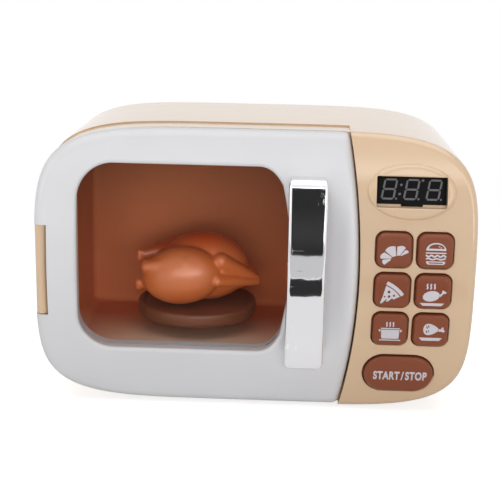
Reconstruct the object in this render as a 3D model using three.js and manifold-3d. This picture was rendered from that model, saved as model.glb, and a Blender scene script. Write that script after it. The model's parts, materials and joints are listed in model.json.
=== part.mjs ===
// Toy microwave oven: a hinged door with a bow handle, a turntable with a play roast
// chicken, seven sprung buttons, a digit display and a battery box behind the panel.
// Millimetres, +Z up, the front faces -Y. The origin lies under the middle of the oven,
// on the plane that its feet stand on. Inside the oven group, y = 0 is the front surface
// at half height and z = 0 is half height.

import * as THREE from 'three';
import { mergeVertices } from 'three/addons/utils/BufferGeometryUtils.js';
import Module from 'manifold-3d';

const wasm = await Module();
wasm.setup();

// Body
const bodyWidth = 250;
const bodyHeight = 163.5;
const bodyDepth = 132;
const frontBowRadius = 238;
const bodyWall = 2.2;
const backEdgeRound = 8;
const panelEdgeRound = 2.5;
const frameDepth = 39;
const bandStep = 0.8;
const outlinePower = 5;

// Running and seating gaps
const gap = 0.3;
const overrun = 2;

// Seam between the door and the panel
const panelWidth = 65;
const seamPeakZ = 2;
const seamRadius = 412;
const seamGap = 0.8;

// Door
const doorLeastDepth = 20;
const doorSideDepth = 5.5;
const doorInset = 0.5;
const doorWall = 2.2;
const doorEdgeRound = 5;
const doorBackRound = 1.6;
const doorSeatGap = 0.5;
const innerFrameThick = 3.2;
const doorBossRadius = 3.4;

// Window
const windowEdgeMargin = 25.3;
const windowSeamMargin = 45;
const windowLowMargin = 35.75;
const windowTopMargin = 20.35;
const windowCorner = 20;
const windowBulge = 6;
const windowBulgeMargin = 11;
const paneSetback = 8;
const paneThick = 1.5;
const paneLip = 3;

// Finger scoop behind the handle
const scoopSeamMargin = 30;
const scoopZ = 5;
const scoopHalfWidth = 24.5;
const scoopHalfHeight = 51;
const scoopDepth = 9;
const scoopPower = 3;

// Handle
const handleWidth = 21.2;
const handleDrop = 5;
const handleReach = 11;
const handleThick = 4.5;
const handleBowRadius = 208;
const handleCorner = 5.5;
const handleInnerCorner = 3;
const handleLeg = 9.5;
const handleBevel = 1.4;

// Hinge
const hingeInset = 4.3;
const hingeY = 6.8;
const hingePinRadius = 1.5;
const hingePinLength = 76;
const knuckleRadius = 3.6;
const knuckleTop = 26.1;
const knuckleBottom = -26.3;
const hingeBlockWidth = 9;
const hingeBlockLength = 14;

// Latch
const latchSeamMargin = 13;
const latchZ = 2;
const latchRadius = 2;
const latchReach = 3.2;
const latchClearance = 0.7;

// Cooking space
const cavityEdgeMargin = 17;
const cavitySeamMargin = 23;
const cavityLowMargin = 33.25;
const cavityTopMargin = 19.75;
const cavityBack = 104;
const cavityCorner = 6;
const linerWall = 1.8;
const linerFlange = 2.8;

// Turntable
const plateShiftX = 0.5;
const plateShiftY = 1.5;
const plateRadius = 36.6;
const plateRise = 16.5;
const plateThick = 6;
const plateEdgeRound = 2;
const plateDish = 1;
const plateRim = 3.5;
const hubRadius = 11;
const hubRise = 0.6;
const hubStemRadius = 5;
const hubPegRadius = 3;
const hubPegHeight = 2.4;
const hubTipRadius = 3;

// Turntable motor
const motorWidth = 37;
const motorLength = 30;
const motorHeight = 17;
const motorDrop = 2.4;
const motorCanRadius = 7.5;
const motorCanLength = 20;
const motorEar = 7;
const motorEarThick = 2.5;

// Control panel display
const displayEdgeMargin = 37.8;
const displayHighShare = 0.3076;
const displayHoleWidth = 39;
const displayHoleHeight = 17.4;
const displayHoleCorner = 0.8;
const displayWidth = 37.6;
const displayHeight = 15.4;
const displayThick = 7;
const displayRecess = 2.7;
const displayRise = 1.1;
const displayBoardWidth = 51;
const displayBoardHeight = 21;
const displayBossReach = 23;
const bezelHalfWidth = 24.5;
const bezelHalfHeight = 15.4;
const bezelLift = 1.4;

// Buttons
const buttonEdgeMargin = 46.3;
const buttonPitchX = 22.9;
const buttonHighShare = 0.1107;
const buttonPitchShare = 0.1425;
const buttonWidth = 19.7;
const buttonHeightShare = 0.12;
const buttonCorner = 4.6;
const buttonLift = 2.4;
const buttonEdgeRound = 1.4;
const buttonFlange = 1.2;
const buttonStemRadius = 3;
const buttonTravel = 1.5;
const startEdgeMargin = 39.7;
const startLowShare = 0.3505;
const startWidth = 40.1;
const startHeightShare = 0.143;

// Boards
const boardFront = 20;
const boardThick = 1.6;
const boardLeftMargin = 59;
const boardRightMargin = 19.5;
const boardHighShare = 0.202;
const boardLowShare = 0.3792;
const padThick = 1.2;
const domeRadius = 3.4;
const domeHeight = 1;
const boardBossRadius = 2.5;
const boardBossHighShare = 0.1914;
const boardBossLowShare = 0.247;

// Battery box
const cellRadius = 7.25;
const cellLength = 49.2;
const cellNub = 1.3;
const cellNubRadius = 2.75;
const cellSpacing = 15.2;
const cellCount = 3;
const cellEdgeMargin = 35;
const cellMiddleZ = -13;
const cellBoxWall = 1.8;
const cellBoxSpare = 4.2;
const contactThick = 0.5;
const contactSpringRadius = 3;
const contactSpringTip = 1.6;
const coverLap = 3;
const coverThick = 2;
const coverCorner = 3;
const coverTab = 12;
const coverCupDepth = 2;
const coverCupWall = 1.4;

// Speaker
const speakerHighShare = 0.2936;
const speakerRadius = 14;
const speakerDepth = 9;
const speakerMagnetRadius = 8;
const speakerRim = 2;
const slotWidth = 2;
const slotPitch = 4.4;
const slotCount = 5;

// Screws
const screwShank = 1.3;
const screwHead = 2.6;
const screwHeadThick = 1.8;
const screwLength = 9;
const doorScrewLength = 7;
const housingBossRadius = 4.5;
const housingWellFloor = 14;
const housingScrewLength = 16;
const bossHighShare = 0.2446;
const bossRightHighShare = 0.202;
const bossRightLowShare = 0.3547;

// Feet
const footSideMargin = 55;
const footFrontY = 31.5;
const footBackMargin = 20;
const footRadius = 5.5;
const footReach = 1.5;
const footPegRadius = 2.4;
const footPegReach = 5;

// Roast chicken
const birdLength = 79;
const birdHeight = 42;
const birdWidth = 52;

// Counts
const outlineSteps = 40;
const arcSteps = 2;
const roundSteps = 2;
const rodSides = 9;
const ballSides = 10;
const screwSides = 6;
const bowSteps = 12;
const outlineSamples = 1440;

// Shares of the form that a ring of the front face takes, from the edge to the middle
const ringShares = [0.75, 0.4];

// Finishes
const finish = (color, roughness, metalness = 0) =>
  new THREE.MeshStandardMaterial({ color, roughness, metalness });
const peach = finish(0xf0cdab, 0.45);
const white = finish(0xe8e8ec, 0.35);
const cocoa = finish(0x7a452c, 0.5);
const darkCocoa = finish(0x55301f, 0.45);
const clear = finish(0xdfe6ea, 0.08);
const chrome = finish(0xd8dadd, 0.08, 1);
const steel = finish(0xa9acb0, 0.35, 1);
const black = finish(0x141416, 0.3);
const boardGreen = finish(0x2f6b45, 0.6);
const rubber = finish(0x4a4a4c, 0.9);
const cellSleeve = finish(0x3f4a57, 0.4);
const roast = finish(0xc0642c, 0.4);

// Places worked out from the sizes
const halfWidth = bodyWidth / 2;
const halfHeight = bodyHeight / 2;
const doorDepth = Math.max(doorLeastDepth, bow(halfHeight) + doorSideDepth);
const paneFront = doorDepth - paneSetback;
const seamX = halfWidth - panelWidth;
const windowLeft = windowEdgeMargin - halfWidth;
const windowRight = seamX - windowSeamMargin;
const windowBottom = windowLowMargin - halfHeight;
const windowTop = halfHeight - windowTopMargin;
const scoopX = seamX - scoopSeamMargin;
const handleTop = scoopZ + scoopHalfHeight;
const handleBottom = scoopZ - scoopHalfHeight - handleDrop;
const hingeX = hingeInset - halfWidth;
const latchX = seamX - latchSeamMargin;
const cavityLeft = cavityEdgeMargin - halfWidth;
const cavityRight = seamX - cavitySeamMargin;
const cavityFloor = cavityLowMargin - halfHeight;
const cavityTop = halfHeight - cavityTopMargin;
const displayX = halfWidth - displayEdgeMargin;
const displayZ = bodyHeight * displayHighShare;
const buttonLeftX = halfWidth - buttonEdgeMargin;
const buttonTopZ = bodyHeight * buttonHighShare;
const buttonPitchZ = bodyHeight * buttonPitchShare;
const buttonHeight = bodyHeight * buttonHeightShare;
const startX = halfWidth - startEdgeMargin;
const startZ = -bodyHeight * startLowShare;
const startHeight = bodyHeight * startHeightShare;
const boardLeft = halfWidth - boardLeftMargin;
const boardRight = halfWidth - boardRightMargin;
const boardTop = bodyHeight * boardHighShare;
const boardBottom = -bodyHeight * boardLowShare;
const cellMiddleX = halfWidth - cellEdgeMargin;
const speakerX = cellMiddleX;
const speakerZ = bodyHeight * speakerHighShare;
const footX = halfWidth - footSideMargin;
const footBackY = bodyDepth - footBackMargin;
const flangeFront = doorDepth + doorSeatGap;
const flangeBack = flangeFront + bodyWall;
const linerFront = flangeBack + gap;
const plateX = (cavityLeft + cavityRight) / 2 - plateShiftX;
const plateY = (linerFront + cavityBack) / 2 - plateShiftY;
const plateTop = cavityFloor + plateRise;
const paneBack = paneFront + paneThick;
const innerFrameFront = doorDepth - innerFrameThick;
const boardBack = boardFront + boardThick;
const padFront = boardFront - gap - padThick;
const stemEnd = padFront - domeHeight - gap - buttonTravel;
const buttonMiddleX = buttonLeftX + buttonPitchX / 2;
const backFace = bodyDepth;
const backInner = bodyDepth - bodyWall;
const linerUnder = cavityFloor - linerWall;

// Depth of the bowed front surface at a height
function bow(z) {
  return frontBowRadius - Math.sqrt(frontBowRadius ** 2 - z ** 2);
}

// Half width of the body's outline at a height
function outlineHalfWidth(z, inset = 0) {
  const share = Math.abs(z) / (halfHeight - inset);
  return (halfWidth - inset) * (1 - share ** outlinePower) ** (1 / outlinePower);
}

// Point of the rounded outline at an angle, drawn in from the edge by an inset
function outlinePoint(angle, inset) {
  const power = 2 / outlinePower;
  const across = Math.cos(angle);
  const up = Math.sin(angle);
  return [
    (halfWidth - inset) * Math.sign(across) * Math.abs(across) ** power,
    (halfHeight - inset) * Math.sign(up) * Math.abs(up) ** power,
  ];
}

// Angles whose points share out the outline's length and its turn alike
function evenAngles(count) {
  const step = (2 * Math.PI) / outlineSamples;
  const lengths = [0];
  const turns = [0];
  let heading = null;
  for (let i = 0; i < outlineSamples; i += 1) {
    const from = outlinePoint(i * step, 0);
    const to = outlinePoint((i + 1) * step, 0);
    const next = Math.atan2(to[1] - from[1], to[0] - from[0]);
    const change = heading === null ? 0 : next - heading;
    heading = next;
    lengths.push(lengths[i] + Math.hypot(to[0] - from[0], to[1] - from[1]));
    turns.push(turns[i] + Math.abs(Math.atan2(Math.sin(change), Math.cos(change))));
  }
  const measure = lengths.map((length, i) => length / lengths.at(-1) + turns[i] / turns.at(-1));
  const angles = [];
  let i = 0;
  for (let k = 0; k < count; k += 1) {
    while (measure[i] < (2 * k) / count) i += 1;
    angles.push(i * step);
  }
  return angles;
}

const outlineAngles = evenAngles(outlineSteps);

function bodyOutline(inset) {
  return outlineAngles.map((angle) => outlinePoint(angle, inset));
}

function outlineShape(inset) {
  return new THREE.Shape(bodyOutline(inset).map(([x, z]) => new THREE.Vector2(x, z)));
}

// Closed solid from a three.js geometry
function solid(geometry) {
  geometry.deleteAttribute('normal');
  geometry.deleteAttribute('uv');
  const merged = mergeVertices(geometry);
  const corners = merged.index.array;
  const faces = [];
  for (let i = 0; i < corners.length; i += 3) {
    const [a, b, c] = [corners[i], corners[i + 1], corners[i + 2]];
    if (a !== b && b !== c && c !== a) faces.push(a, b, c);
  }
  return new wasm.Manifold(new wasm.Mesh({
    numProp: 3,
    vertProperties: merged.attributes.position.array,
    triVerts: Uint32Array.from(faces),
  }));
}

function geometryOf(shape) {
  const { vertProperties, triVerts } = shape.getMesh();
  const geometry = new THREE.BufferGeometry();
  geometry.setAttribute('position', new THREE.BufferAttribute(vertProperties, 3));
  geometry.setIndex(new THREE.BufferAttribute(triVerts, 1));
  geometry.computeVertexNormals();
  return geometry;
}

function piece(name, shape, material) {
  const mesh = new THREE.Mesh(geometryOf(shape), material);
  mesh.name = name;
  return mesh;
}

function box(left, right, front, back, bottom, top) {
  const geometry = new THREE.BoxGeometry(right - left, back - front, top - bottom);
  geometry.translate((left + right) / 2, (front + back) / 2, (bottom + top) / 2);
  return solid(geometry);
}

// Rod along Y through a place in the front view
function rodY(radius, x, z, front, back, sides = rodSides) {
  const geometry = new THREE.CylinderGeometry(radius, radius, back - front, sides);
  geometry.translate(x, (front + back) / 2, z);
  return solid(geometry);
}

// Rod along Z through a place in the plan view
function rodZ(radius, x, y, bottom, top, sides = rodSides) {
  const geometry = new THREE.CylinderGeometry(radius, radius, top - bottom, sides);
  geometry.rotateX(Math.PI / 2);
  geometry.translate(x, y, (bottom + top) / 2);
  return solid(geometry);
}

// Shape drawn in x and z, run through from a front to a back depth
function prism(shape, front, back, steps = arcSteps) {
  const geometry = new THREE.ExtrudeGeometry(shape, {
    depth: back - front,
    bevelEnabled: false,
    curveSegments: steps,
  });
  geometry.rotateX(Math.PI / 2);
  geometry.translate(0, back, 0);
  return solid(geometry);
}

// Profile of radii and heights, turned about an upright axis
function turned(profile, x, y, sides) {
  const points = profile.map(([radius, height]) => new THREE.Vector2(radius, height));
  const geometry = new THREE.LatheGeometry(points, sides);
  geometry.rotateX(Math.PI / 2);
  geometry.translate(x, y, 0);
  return solid(geometry);
}

// Rings of points stacked from the back to the front, closed by a point at each end
function stack(backPoint, rings, frontPoint) {
  const count = rings[0].length;
  const points = [backPoint, ...rings.flat(), frontPoint];
  const last = points.length - 1;
  const at = (ring, i) => 1 + ring * count + (i % count);
  const faces = [];
  for (let i = 0; i < count; i += 1) {
    faces.push(0, at(0, i + 1), at(0, i));
    faces.push(last, at(rings.length - 1, i), at(rings.length - 1, i + 1));
    for (let ring = 0; ring + 1 < rings.length; ring += 1) {
      faces.push(at(ring, i), at(ring, i + 1), at(ring + 1, i + 1));
      faces.push(at(ring, i), at(ring + 1, i + 1), at(ring + 1, i));
    }
  }
  const geometry = new THREE.BufferGeometry();
  geometry.setAttribute('position', new THREE.Float32BufferAttribute(points.flat(), 3));
  geometry.setIndex(faces);
  return solid(geometry);
}

// Block with a curved front face and rounded front and back edges
function crownedBlock({
  outline, front, frontRound, back, backRound, steps = roundSteps, shares = ringShares,
}) {
  const quarter = Math.PI / 2 / steps;
  const rings = [];
  for (let k = 0; k <= steps && backRound > 0; k += 1) {
    const inset = backRound * (1 - Math.sin(k * quarter));
    const y = back - backRound * (1 - Math.cos(k * quarter));
    rings.push(outline(inset).map(([x, z]) => [x, y, z]));
  }
  if (backRound === 0) rings.push(outline(0).map(([x, z]) => [x, back, z]));
  for (let k = 0; k <= steps; k += 1) {
    const inset = frontRound * (1 - Math.cos(k * quarter));
    const sink = frontRound * (1 - Math.sin(k * quarter));
    rings.push(outline(inset).map(([x, z]) => [x, front(z) + sink, z]));
  }
  const edge = outline(frontRound);
  const middle = [
    edge.reduce((sum, [x]) => sum + x, 0) / edge.length,
    edge.reduce((sum, [, z]) => sum + z, 0) / edge.length,
  ];
  for (const share of shares) {
    rings.push(edge.map(([x, z]) => {
      const height = middle[1] + (z - middle[1]) * share;
      return [middle[0] + (x - middle[0]) * share, front(height), height];
    }));
  }
  return stack([middle[0], back, middle[1]], rings, [middle[0], front(middle[1]), middle[1]]);
}

// Outer form of the whole oven
function bodyForm() {
  return crownedBlock({
    outline: bodyOutline,
    front: bow,
    frontRound: panelEdgeRound,
    back: backFace,
    backRound: backEdgeRound,
  });
}

// Form of the door's outside, drawn in by an inset and as deep as asked
function doorForm(inset, back) {
  return crownedBlock({
    outline: (more) => bodyOutline(doorInset + inset + more),
    front: (z) => bow(z) + inset,
    frontRound: doorEdgeRound,
    back,
    backRound: 0,
  });
}

// Turns a shape drawn in y and z, extruded along its own third axis, to run along X
function yzToWorld() {
  return new THREE.Matrix4().makeBasis(
    new THREE.Vector3(0, 1, 0), new THREE.Vector3(0, 0, 1), new THREE.Vector3(1, 0, 0),
  );
}

// A shape drawn in y and z, run across from a left to a right place
function crossPrism(shape, left, right) {
  const geometry = new THREE.ExtrudeGeometry(shape, { depth: right - left, bevelEnabled: false });
  geometry.applyMatrix4(yzToWorld());
  geometry.translate(left, 0, 0);
  return solid(geometry);
}

// Everything between two depths behind the bowed front, inside the outline drawn in by an inset
function hollowForm(inset, depth, back) {
  const profile = new THREE.Shape();
  profile.moveTo(back, halfHeight);
  for (let i = 0; i <= bowSteps; i += 1) {
    const z = halfHeight * (1 - (2 * i) / bowSteps);
    profile.lineTo(bow(z) + depth, z);
  }
  profile.lineTo(back, -halfHeight);
  const outline = prism(outlineShape(inset), -overrun, back + overrun);
  return crossPrism(profile, -bodyWidth, bodyWidth).intersect(outline);
}

function roundedRectangle(middleX, middleZ, width, height, corner) {
  const shape = new THREE.Shape();
  const right = middleX + width / 2 - corner;
  const left = middleX - width / 2 + corner;
  const top = middleZ + height / 2 - corner;
  const bottom = middleZ - height / 2 + corner;
  shape.absarc(right, bottom, corner, -Math.PI / 2, 0);
  shape.absarc(right, top, corner, 0, Math.PI / 2);
  shape.absarc(left, top, corner, Math.PI / 2, Math.PI);
  shape.absarc(left, bottom, corner, Math.PI, 1.5 * Math.PI);
  return shape;
}

// Everything on the door's side of the seam, which is one wide arc
function doorSide(shift, front, back) {
  const middleX = seamX - seamRadius;
  const radius = seamRadius + shift;
  const swing = Math.asin((bodyHeight + Math.abs(seamPeakZ)) / radius);
  const shape = new THREE.Shape();
  shape.absarc(middleX, seamPeakZ, radius, -swing, swing);
  shape.lineTo(-bodyWidth, bodyHeight);
  shape.lineTo(-bodyWidth, -bodyHeight);
  return prism(shape, front, back, 2 * arcSteps);
}

// Points of a rounded rectangle for a crowned block
function roundedPoints(middleX, middleZ, width, height, corner, steps) {
  return (inset) => {
    const radius = Math.max(corner - inset, corner / 4);
    const across = width / 2 - inset - radius;
    const up = height / 2 - inset - radius;
    const points = [];
    for (const [quarter, sideX, sideZ] of [[-1, 1, -1], [0, 1, 1], [1, -1, 1], [2, -1, -1]]) {
      for (let i = 0; i <= steps; i += 1) {
        const angle = ((quarter + i / steps) * Math.PI) / 2;
        points.push([
          middleX + sideX * across + radius * Math.cos(angle),
          middleZ + sideZ * up + radius * Math.sin(angle),
        ]);
      }
    }
    return points;
  };
}

// Turns a piece drawn square to Y so that it lies square to the bowed front at a place on it
function squareTo(x, z, shape) {
  const geometry = geometryOf(shape);
  geometry.rotateX(-Math.asin(z / frontBowRadius));
  geometry.translate(x, bow(z), z);
  return solid(geometry);
}

// Screw along Y with its head towards the back
function screwSolid(x, z, headFront, length) {
  const profile = [
    [0, 0], [screwShank, 0], [screwShank, length],
    [screwHead, length], [screwHead, length + screwHeadThick], [0, length + screwHeadThick],
  ];
  const geometry = new THREE.LatheGeometry(profile.map(([r, y]) => new THREE.Vector2(r, y)), screwSides);
  geometry.translate(x, headFront - length, z);
  return solid(geometry);
}

// Front frame: the control panel, the flange behind the door and the hinge knuckle

const frontButtons = [];
for (let row = 0; row < 3; row += 1) {
  for (let column = 0; column < 2; column += 1) {
    frontButtons.push({
      name: ['croissant', 'burger', 'pizza', 'chicken', 'pot', 'ham'][row * 2 + column] + '_button',
      x: buttonLeftX + column * buttonPitchX,
      z: buttonTopZ - row * buttonPitchZ,
      width: buttonWidth,
      height: buttonHeight,
      corner: buttonCorner,
    });
  }
}
frontButtons.push({
  name: 'start_stop_button',
  x: startX,
  z: startZ,
  width: startWidth,
  height: startHeight,
  corner: startHeight / 2,
});

function buttonOutline(button, grow) {
  return roundedRectangle(button.x, button.z, button.width + 2 * grow, button.height + 2 * grow,
    button.corner + grow);
}

const housingBosses = [
  [-1, bossHighShare], [-1, -bossHighShare], [1, bossRightHighShare], [1, -bossRightLowShare],
].map(([side, share]) => {
  const z = bodyHeight * share;
  return [side * (outlineHalfWidth(z) - backEdgeRound / 2 - housingBossRadius), z];
});

const boardBosses = [
  bodyHeight * boardBossHighShare,
  buttonTopZ - buttonPitchZ / 2,
  -bodyHeight * boardBossLowShare,
].map((z) => [buttonMiddleX, z]);

const bossJoint = frameDepth + 2 * bodyWall;

// The display sits square to the bowed panel
function displayPlaced(shape) {
  return squareTo(displayX, displayZ, shape);
}

function frameShell() {
  const outer = bodyForm();
  const hollow = hollowForm(bodyWall, bodyWall, bodyDepth);
  const seamWall = doorSide(seamGap / 2 + bodyWall, -overrun, flangeBack)
    .subtract(doorSide(seamGap / 2, -2 * overrun, flangeBack + overrun));
  const flange = doorSide(seamGap / 2 + bodyWall, flangeFront, flangeBack);
  const room = hollow.subtract(seamWall).subtract(flange);
  const recess = doorSide(seamGap / 2, -frameDepth, flangeFront);
  const behind = box(-bodyWidth, bodyWidth, frameDepth, 2 * bodyDepth, -bodyHeight, bodyHeight);
  return outer.subtract(behind).subtract(recess).subtract(room);
}

// Shallow step that runs round the frame beside the door
function frameBand() {
  const outside = box(-bodyWidth, bodyWidth, -overrun, frameDepth + overrun, -bodyHeight, bodyHeight);
  const inside = prism(outlineShape(bandStep), -2 * overrun, frameDepth + 2 * overrun);
  const beside = doorSide(seamGap / 2, flangeFront - overrun, frameDepth + overrun);
  return outside.subtract(inside).intersect(beside);
}

function knuckle() {
  const barrel = rodZ(knuckleRadius, hingeX, hingeY, knuckleBottom, knuckleTop, 2 * rodSides);
  const web = box(hingeX - knuckleRadius, hingeX + knuckleRadius, hingeY, flangeBack,
    knuckleBottom, knuckleTop);
  const bore = rodZ(hingePinRadius + gap, hingeX, hingeY,
    knuckleBottom - overrun, knuckleTop + overrun);
  return barrel.add(web).subtract(bore);
}

function bezel() {
  const geometry = new THREE.SphereGeometry(1, 2 * ballSides, ballSides / 2);
  geometry.rotateX(Math.PI / 2);
  geometry.scale(bezelHalfWidth, 2 * bezelLift, bezelHalfHeight);
  geometry.translate(0, bezelLift, 0);
  const dome = displayPlaced(solid(geometry));
  const half = box(-bezelHalfWidth, bezelHalfWidth, -2 * bezelLift, bodyWall,
    -bezelHalfHeight, bezelHalfHeight);
  return dome.intersect(displayPlaced(half));
}

function displayHole() {
  return displayPlaced(prism(
    roundedRectangle(0, 0, displayHoleWidth, displayHoleHeight, displayHoleCorner),
    -2 * overrun - bezelLift, bodyWall + 2 * overrun, 1,
  ));
}

function boardPosts() {
  return boardBosses.map(([x, z]) =>
    rodY(boardBossRadius, x, z, bow(Math.abs(z) + boardBossRadius) + bodyWall / 2, boardFront - gap)
      .subtract(rodY(screwShank + gap, x, z, boardFront - gap - screwLength, boardFront)));
}

function displayPosts() {
  return [-1, 1].map((side) => displayPlaced(
    rodY(boardBossRadius, side * displayBossReach, 0, bodyWall / 2, displayRecess + displayThick)
      .subtract(rodY(screwShank + gap, side * displayBossReach, 0,
        bodyWall + gap, displayRecess + displayThick + overrun))));
}

function frameBosses() {
  const clear = prism(outlineShape(bodyWall + gap), 0, bossJoint);
  return housingBosses.map(([x, z]) => {
    const panelInner = bow(Math.abs(z) + housingBossRadius) + bodyWall / 2;
    const start = x < 0 ? flangeBack - bodyWall / 2 : panelInner;
    return rodY(housingBossRadius, x, z, start, bossJoint - gap).intersect(clear)
      .subtract(rodY(screwShank + gap, x, z, bossJoint - housingScrewLength, bossJoint));
  });
}

function frontFrame() {
  const opening = prism(roundedRectangle(
    (cavityLeft + cavityRight) / 2, (cavityFloor + cavityTop) / 2,
    cavityRight - cavityLeft, cavityTop - cavityFloor, cavityCorner,
  ), flangeFront - overrun, flangeBack + overrun);
  let shape = frameShell().add(bezel());
  for (const boss of [...frameBosses(), ...boardPosts(), ...displayPosts()]) shape = shape.add(boss);
  shape = shape.subtract(frameBand()).subtract(opening).subtract(displayHole());
  for (const button of frontButtons) {
    shape = shape.subtract(prism(buttonOutline(button, gap), -frameDepth, stemEnd));
  }
  shape = shape.subtract(rodY(latchRadius + latchClearance, latchX, latchZ,
    flangeFront - overrun, flangeBack + overrun));
  for (const side of [-1, 1]) {
    shape = shape.subtract(rodZ(footPegRadius + gap, side * footX, footFrontY,
      -halfHeight - overrun, -halfHeight + 3 * overrun));
  }
  return shape.add(knuckle());
}

// Rear housing: the shell, the screw wells, the battery box and the speaker slots

const cellBoxHalfWidth = (cellCount * cellSpacing) / 2 + gap;
const cellBoxHalfHeight = (cellLength + cellNub + cellBoxSpare) / 2;
const cellBoxFront = backFace - coverThick - 2 * gap - 2 * cellRadius - 2 * gap;

function cellBox() {
  return box(
    cellMiddleX - cellBoxHalfWidth - cellBoxWall, cellMiddleX + cellBoxHalfWidth + cellBoxWall,
    cellBoxFront - cellBoxWall, backFace - bodyWall / 2,
    cellMiddleZ - cellBoxHalfHeight - cellBoxWall, cellMiddleZ + cellBoxHalfHeight + cellBoxWall,
  );
}

function cellRoom() {
  return box(
    cellMiddleX - cellBoxHalfWidth, cellMiddleX + cellBoxHalfWidth,
    cellBoxFront, backFace + overrun,
    cellMiddleZ - cellBoxHalfHeight, cellMiddleZ + cellBoxHalfHeight,
  );
}

function coverOutline(grow) {
  return roundedRectangle(
    cellMiddleX, cellMiddleZ,
    2 * (cellBoxHalfWidth + coverLap + grow), 2 * (cellBoxHalfHeight + coverLap + grow) + coverTab,
    coverCorner + grow,
  );
}

const coverCupRadius = screwHead + gap + coverCupWall;
const coverScrewZ = cellMiddleZ - cellBoxHalfHeight - cellBoxWall - coverTab / 4;

function speakerSlots() {
  const slots = [];
  for (let i = 0; i < slotCount; i += 1) {
    const rise = (i - (slotCount - 1) / 2) * slotPitch;
    const reach = 2 * Math.sqrt((speakerRadius - speakerRim) ** 2 - rise ** 2);
    slots.push(prism(roundedRectangle(speakerX, speakerZ + rise, reach, slotWidth, slotWidth / 2),
      backInner - overrun, backFace + overrun, 1));
  }
  return slots;
}

function rearHousing() {
  const front = box(-bodyWidth, bodyWidth, -bodyDepth, frameDepth + gap, -bodyHeight, bodyHeight);
  const hollow = crownedBlock({
    outline: (more) => bodyOutline(bodyWall + more),
    front: () => 0,
    frontRound: bodyWall,
    back: backInner,
    backRound: backEdgeRound - bodyWall,
    shares: [],
  });
  let shape = bodyForm().subtract(hollow).subtract(front);
  for (const [x, z] of housingBosses) {
    shape = shape.add(rodY(housingBossRadius, x, z, bossJoint, backFace - bodyWall / 2));
  }
  shape = shape.add(cellBox());
  const coverPocketFront = backFace - coverThick - gap;
  const coverPad = prism(coverOutline(bodyWall), coverPocketFront - bodyWall, backFace - bodyWall / 2);
  shape = shape.add(coverPad).add(rodY(housingBossRadius, cellMiddleX, coverScrewZ,
    backFace - screwLength - 3 * overrun, backFace - bodyWall));
  shape = shape.subtract(prism(coverOutline(gap), coverPocketFront, backFace + overrun))
    .subtract(cellRoom());
  shape = shape.subtract(rodY(screwShank + gap, cellMiddleX, coverScrewZ,
    backFace - screwLength - 2 * overrun, backFace));
  shape = shape.subtract(rodY(coverCupRadius + gap, cellMiddleX, coverScrewZ,
    backFace - coverThick - coverCupDepth - gap, backFace));
  for (const [x, z] of housingBosses) {
    shape = shape.subtract(rodY(screwHead + gap, x, z, bossJoint + housingWellFloor, backFace + overrun))
      .subtract(rodY(screwShank + gap, x, z, bossJoint - overrun, backFace));
  }
  for (const slot of speakerSlots()) shape = shape.subtract(slot);
  for (const side of [-1, 1]) {
    shape = shape.subtract(rodZ(footPegRadius + gap, side * footX, footBackY,
      -halfHeight - overrun, -halfHeight + 3 * overrun));
  }
  return shape;
}

function batteryCover() {
  const cup = rodY(coverCupRadius, cellMiddleX, coverScrewZ,
    backFace - coverThick - coverCupDepth, backFace);
  const plate = prism(coverOutline(0), backFace - coverThick, backFace).add(cup);
  const grip = roundedRectangle(cellMiddleX, cellMiddleZ + cellBoxHalfHeight, coverTab, slotWidth,
    slotWidth / 2);
  return plate.subtract(prism(grip, backFace - coverThick / 2, backFace + overrun, 1))
    .subtract(rodY(screwShank + gap, cellMiddleX, coverScrewZ, backFace - bodyDepth,
      backFace + overrun))
    .subtract(rodY(screwHead + gap, cellMiddleX, coverScrewZ, backFace - coverThick - gap,
      backFace + overrun));
}

// Battery cells and their contacts

function cellSolid(index) {
  const x = cellMiddleX + (index - (cellCount - 1) / 2) * cellSpacing;
  const up = index % 2 === 0;
  const y = cellBoxFront + gap + cellRadius;
  const half = cellLength / 2;
  const nubRoot = up ? half - overrun : -half - cellNub;
  return rodZ(cellRadius, x, y, cellMiddleZ - half, cellMiddleZ + half, 2 * rodSides)
    .add(rodZ(cellNubRadius, x, y, cellMiddleZ + nubRoot, cellMiddleZ + nubRoot + cellNub + overrun));
}

function contactSolid(side) {
  const y = cellBoxFront + gap + cellRadius;
  const wallFace = cellMiddleZ + side * (cellBoxHalfHeight - gap);
  const plateFace = wallFace - side * contactThick;
  let shape = box(
    cellMiddleX - cellBoxHalfWidth + gap, cellMiddleX + cellBoxHalfWidth - gap,
    cellBoxFront + gap, cellBoxFront + gap + 2 * cellRadius,
    Math.min(wallFace, plateFace), Math.max(wallFace, plateFace),
  );
  for (let index = 0; index < cellCount; index += 1) {
    const nubHere = (index % 2 === 0) === (side > 0);
    const cellEnd = cellMiddleZ + side * (cellLength / 2 + (nubHere ? cellNub : 0) + gap);
    const x = cellMiddleX + (index - (cellCount - 1) / 2) * cellSpacing;
    const height = Math.abs(plateFace - cellEnd) + contactThick / 2;
    const cone = new THREE.CylinderGeometry(contactSpringTip, contactSpringRadius, height, rodSides / 2);
    cone.rotateX(side > 0 ? -Math.PI / 2 : Math.PI / 2);
    cone.translate(x, y, (plateFace + cellEnd + side * contactThick / 2) / 2);
    shape = shape.add(solid(cone));
  }
  return shape;
}

// Speaker behind the back wall

function speakerSolid() {
  const back = backInner - gap;
  return rodY(speakerRadius, speakerX, speakerZ, back - speakerRim, back, 2 * rodSides)
    .add(rodY(speakerMagnetRadius, speakerX, speakerZ, back - speakerDepth, back - speakerRim / 2));
}

// Boards, keypad and display

function keyBoard() {
  let shape = box(boardLeft, boardRight, boardFront, boardBack, boardBottom, boardTop);
  for (const [x, z] of boardBosses) {
    shape = shape.subtract(rodY(screwShank + gap, x, z, boardFront - overrun, boardBack + overrun));
  }
  return shape;
}

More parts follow.
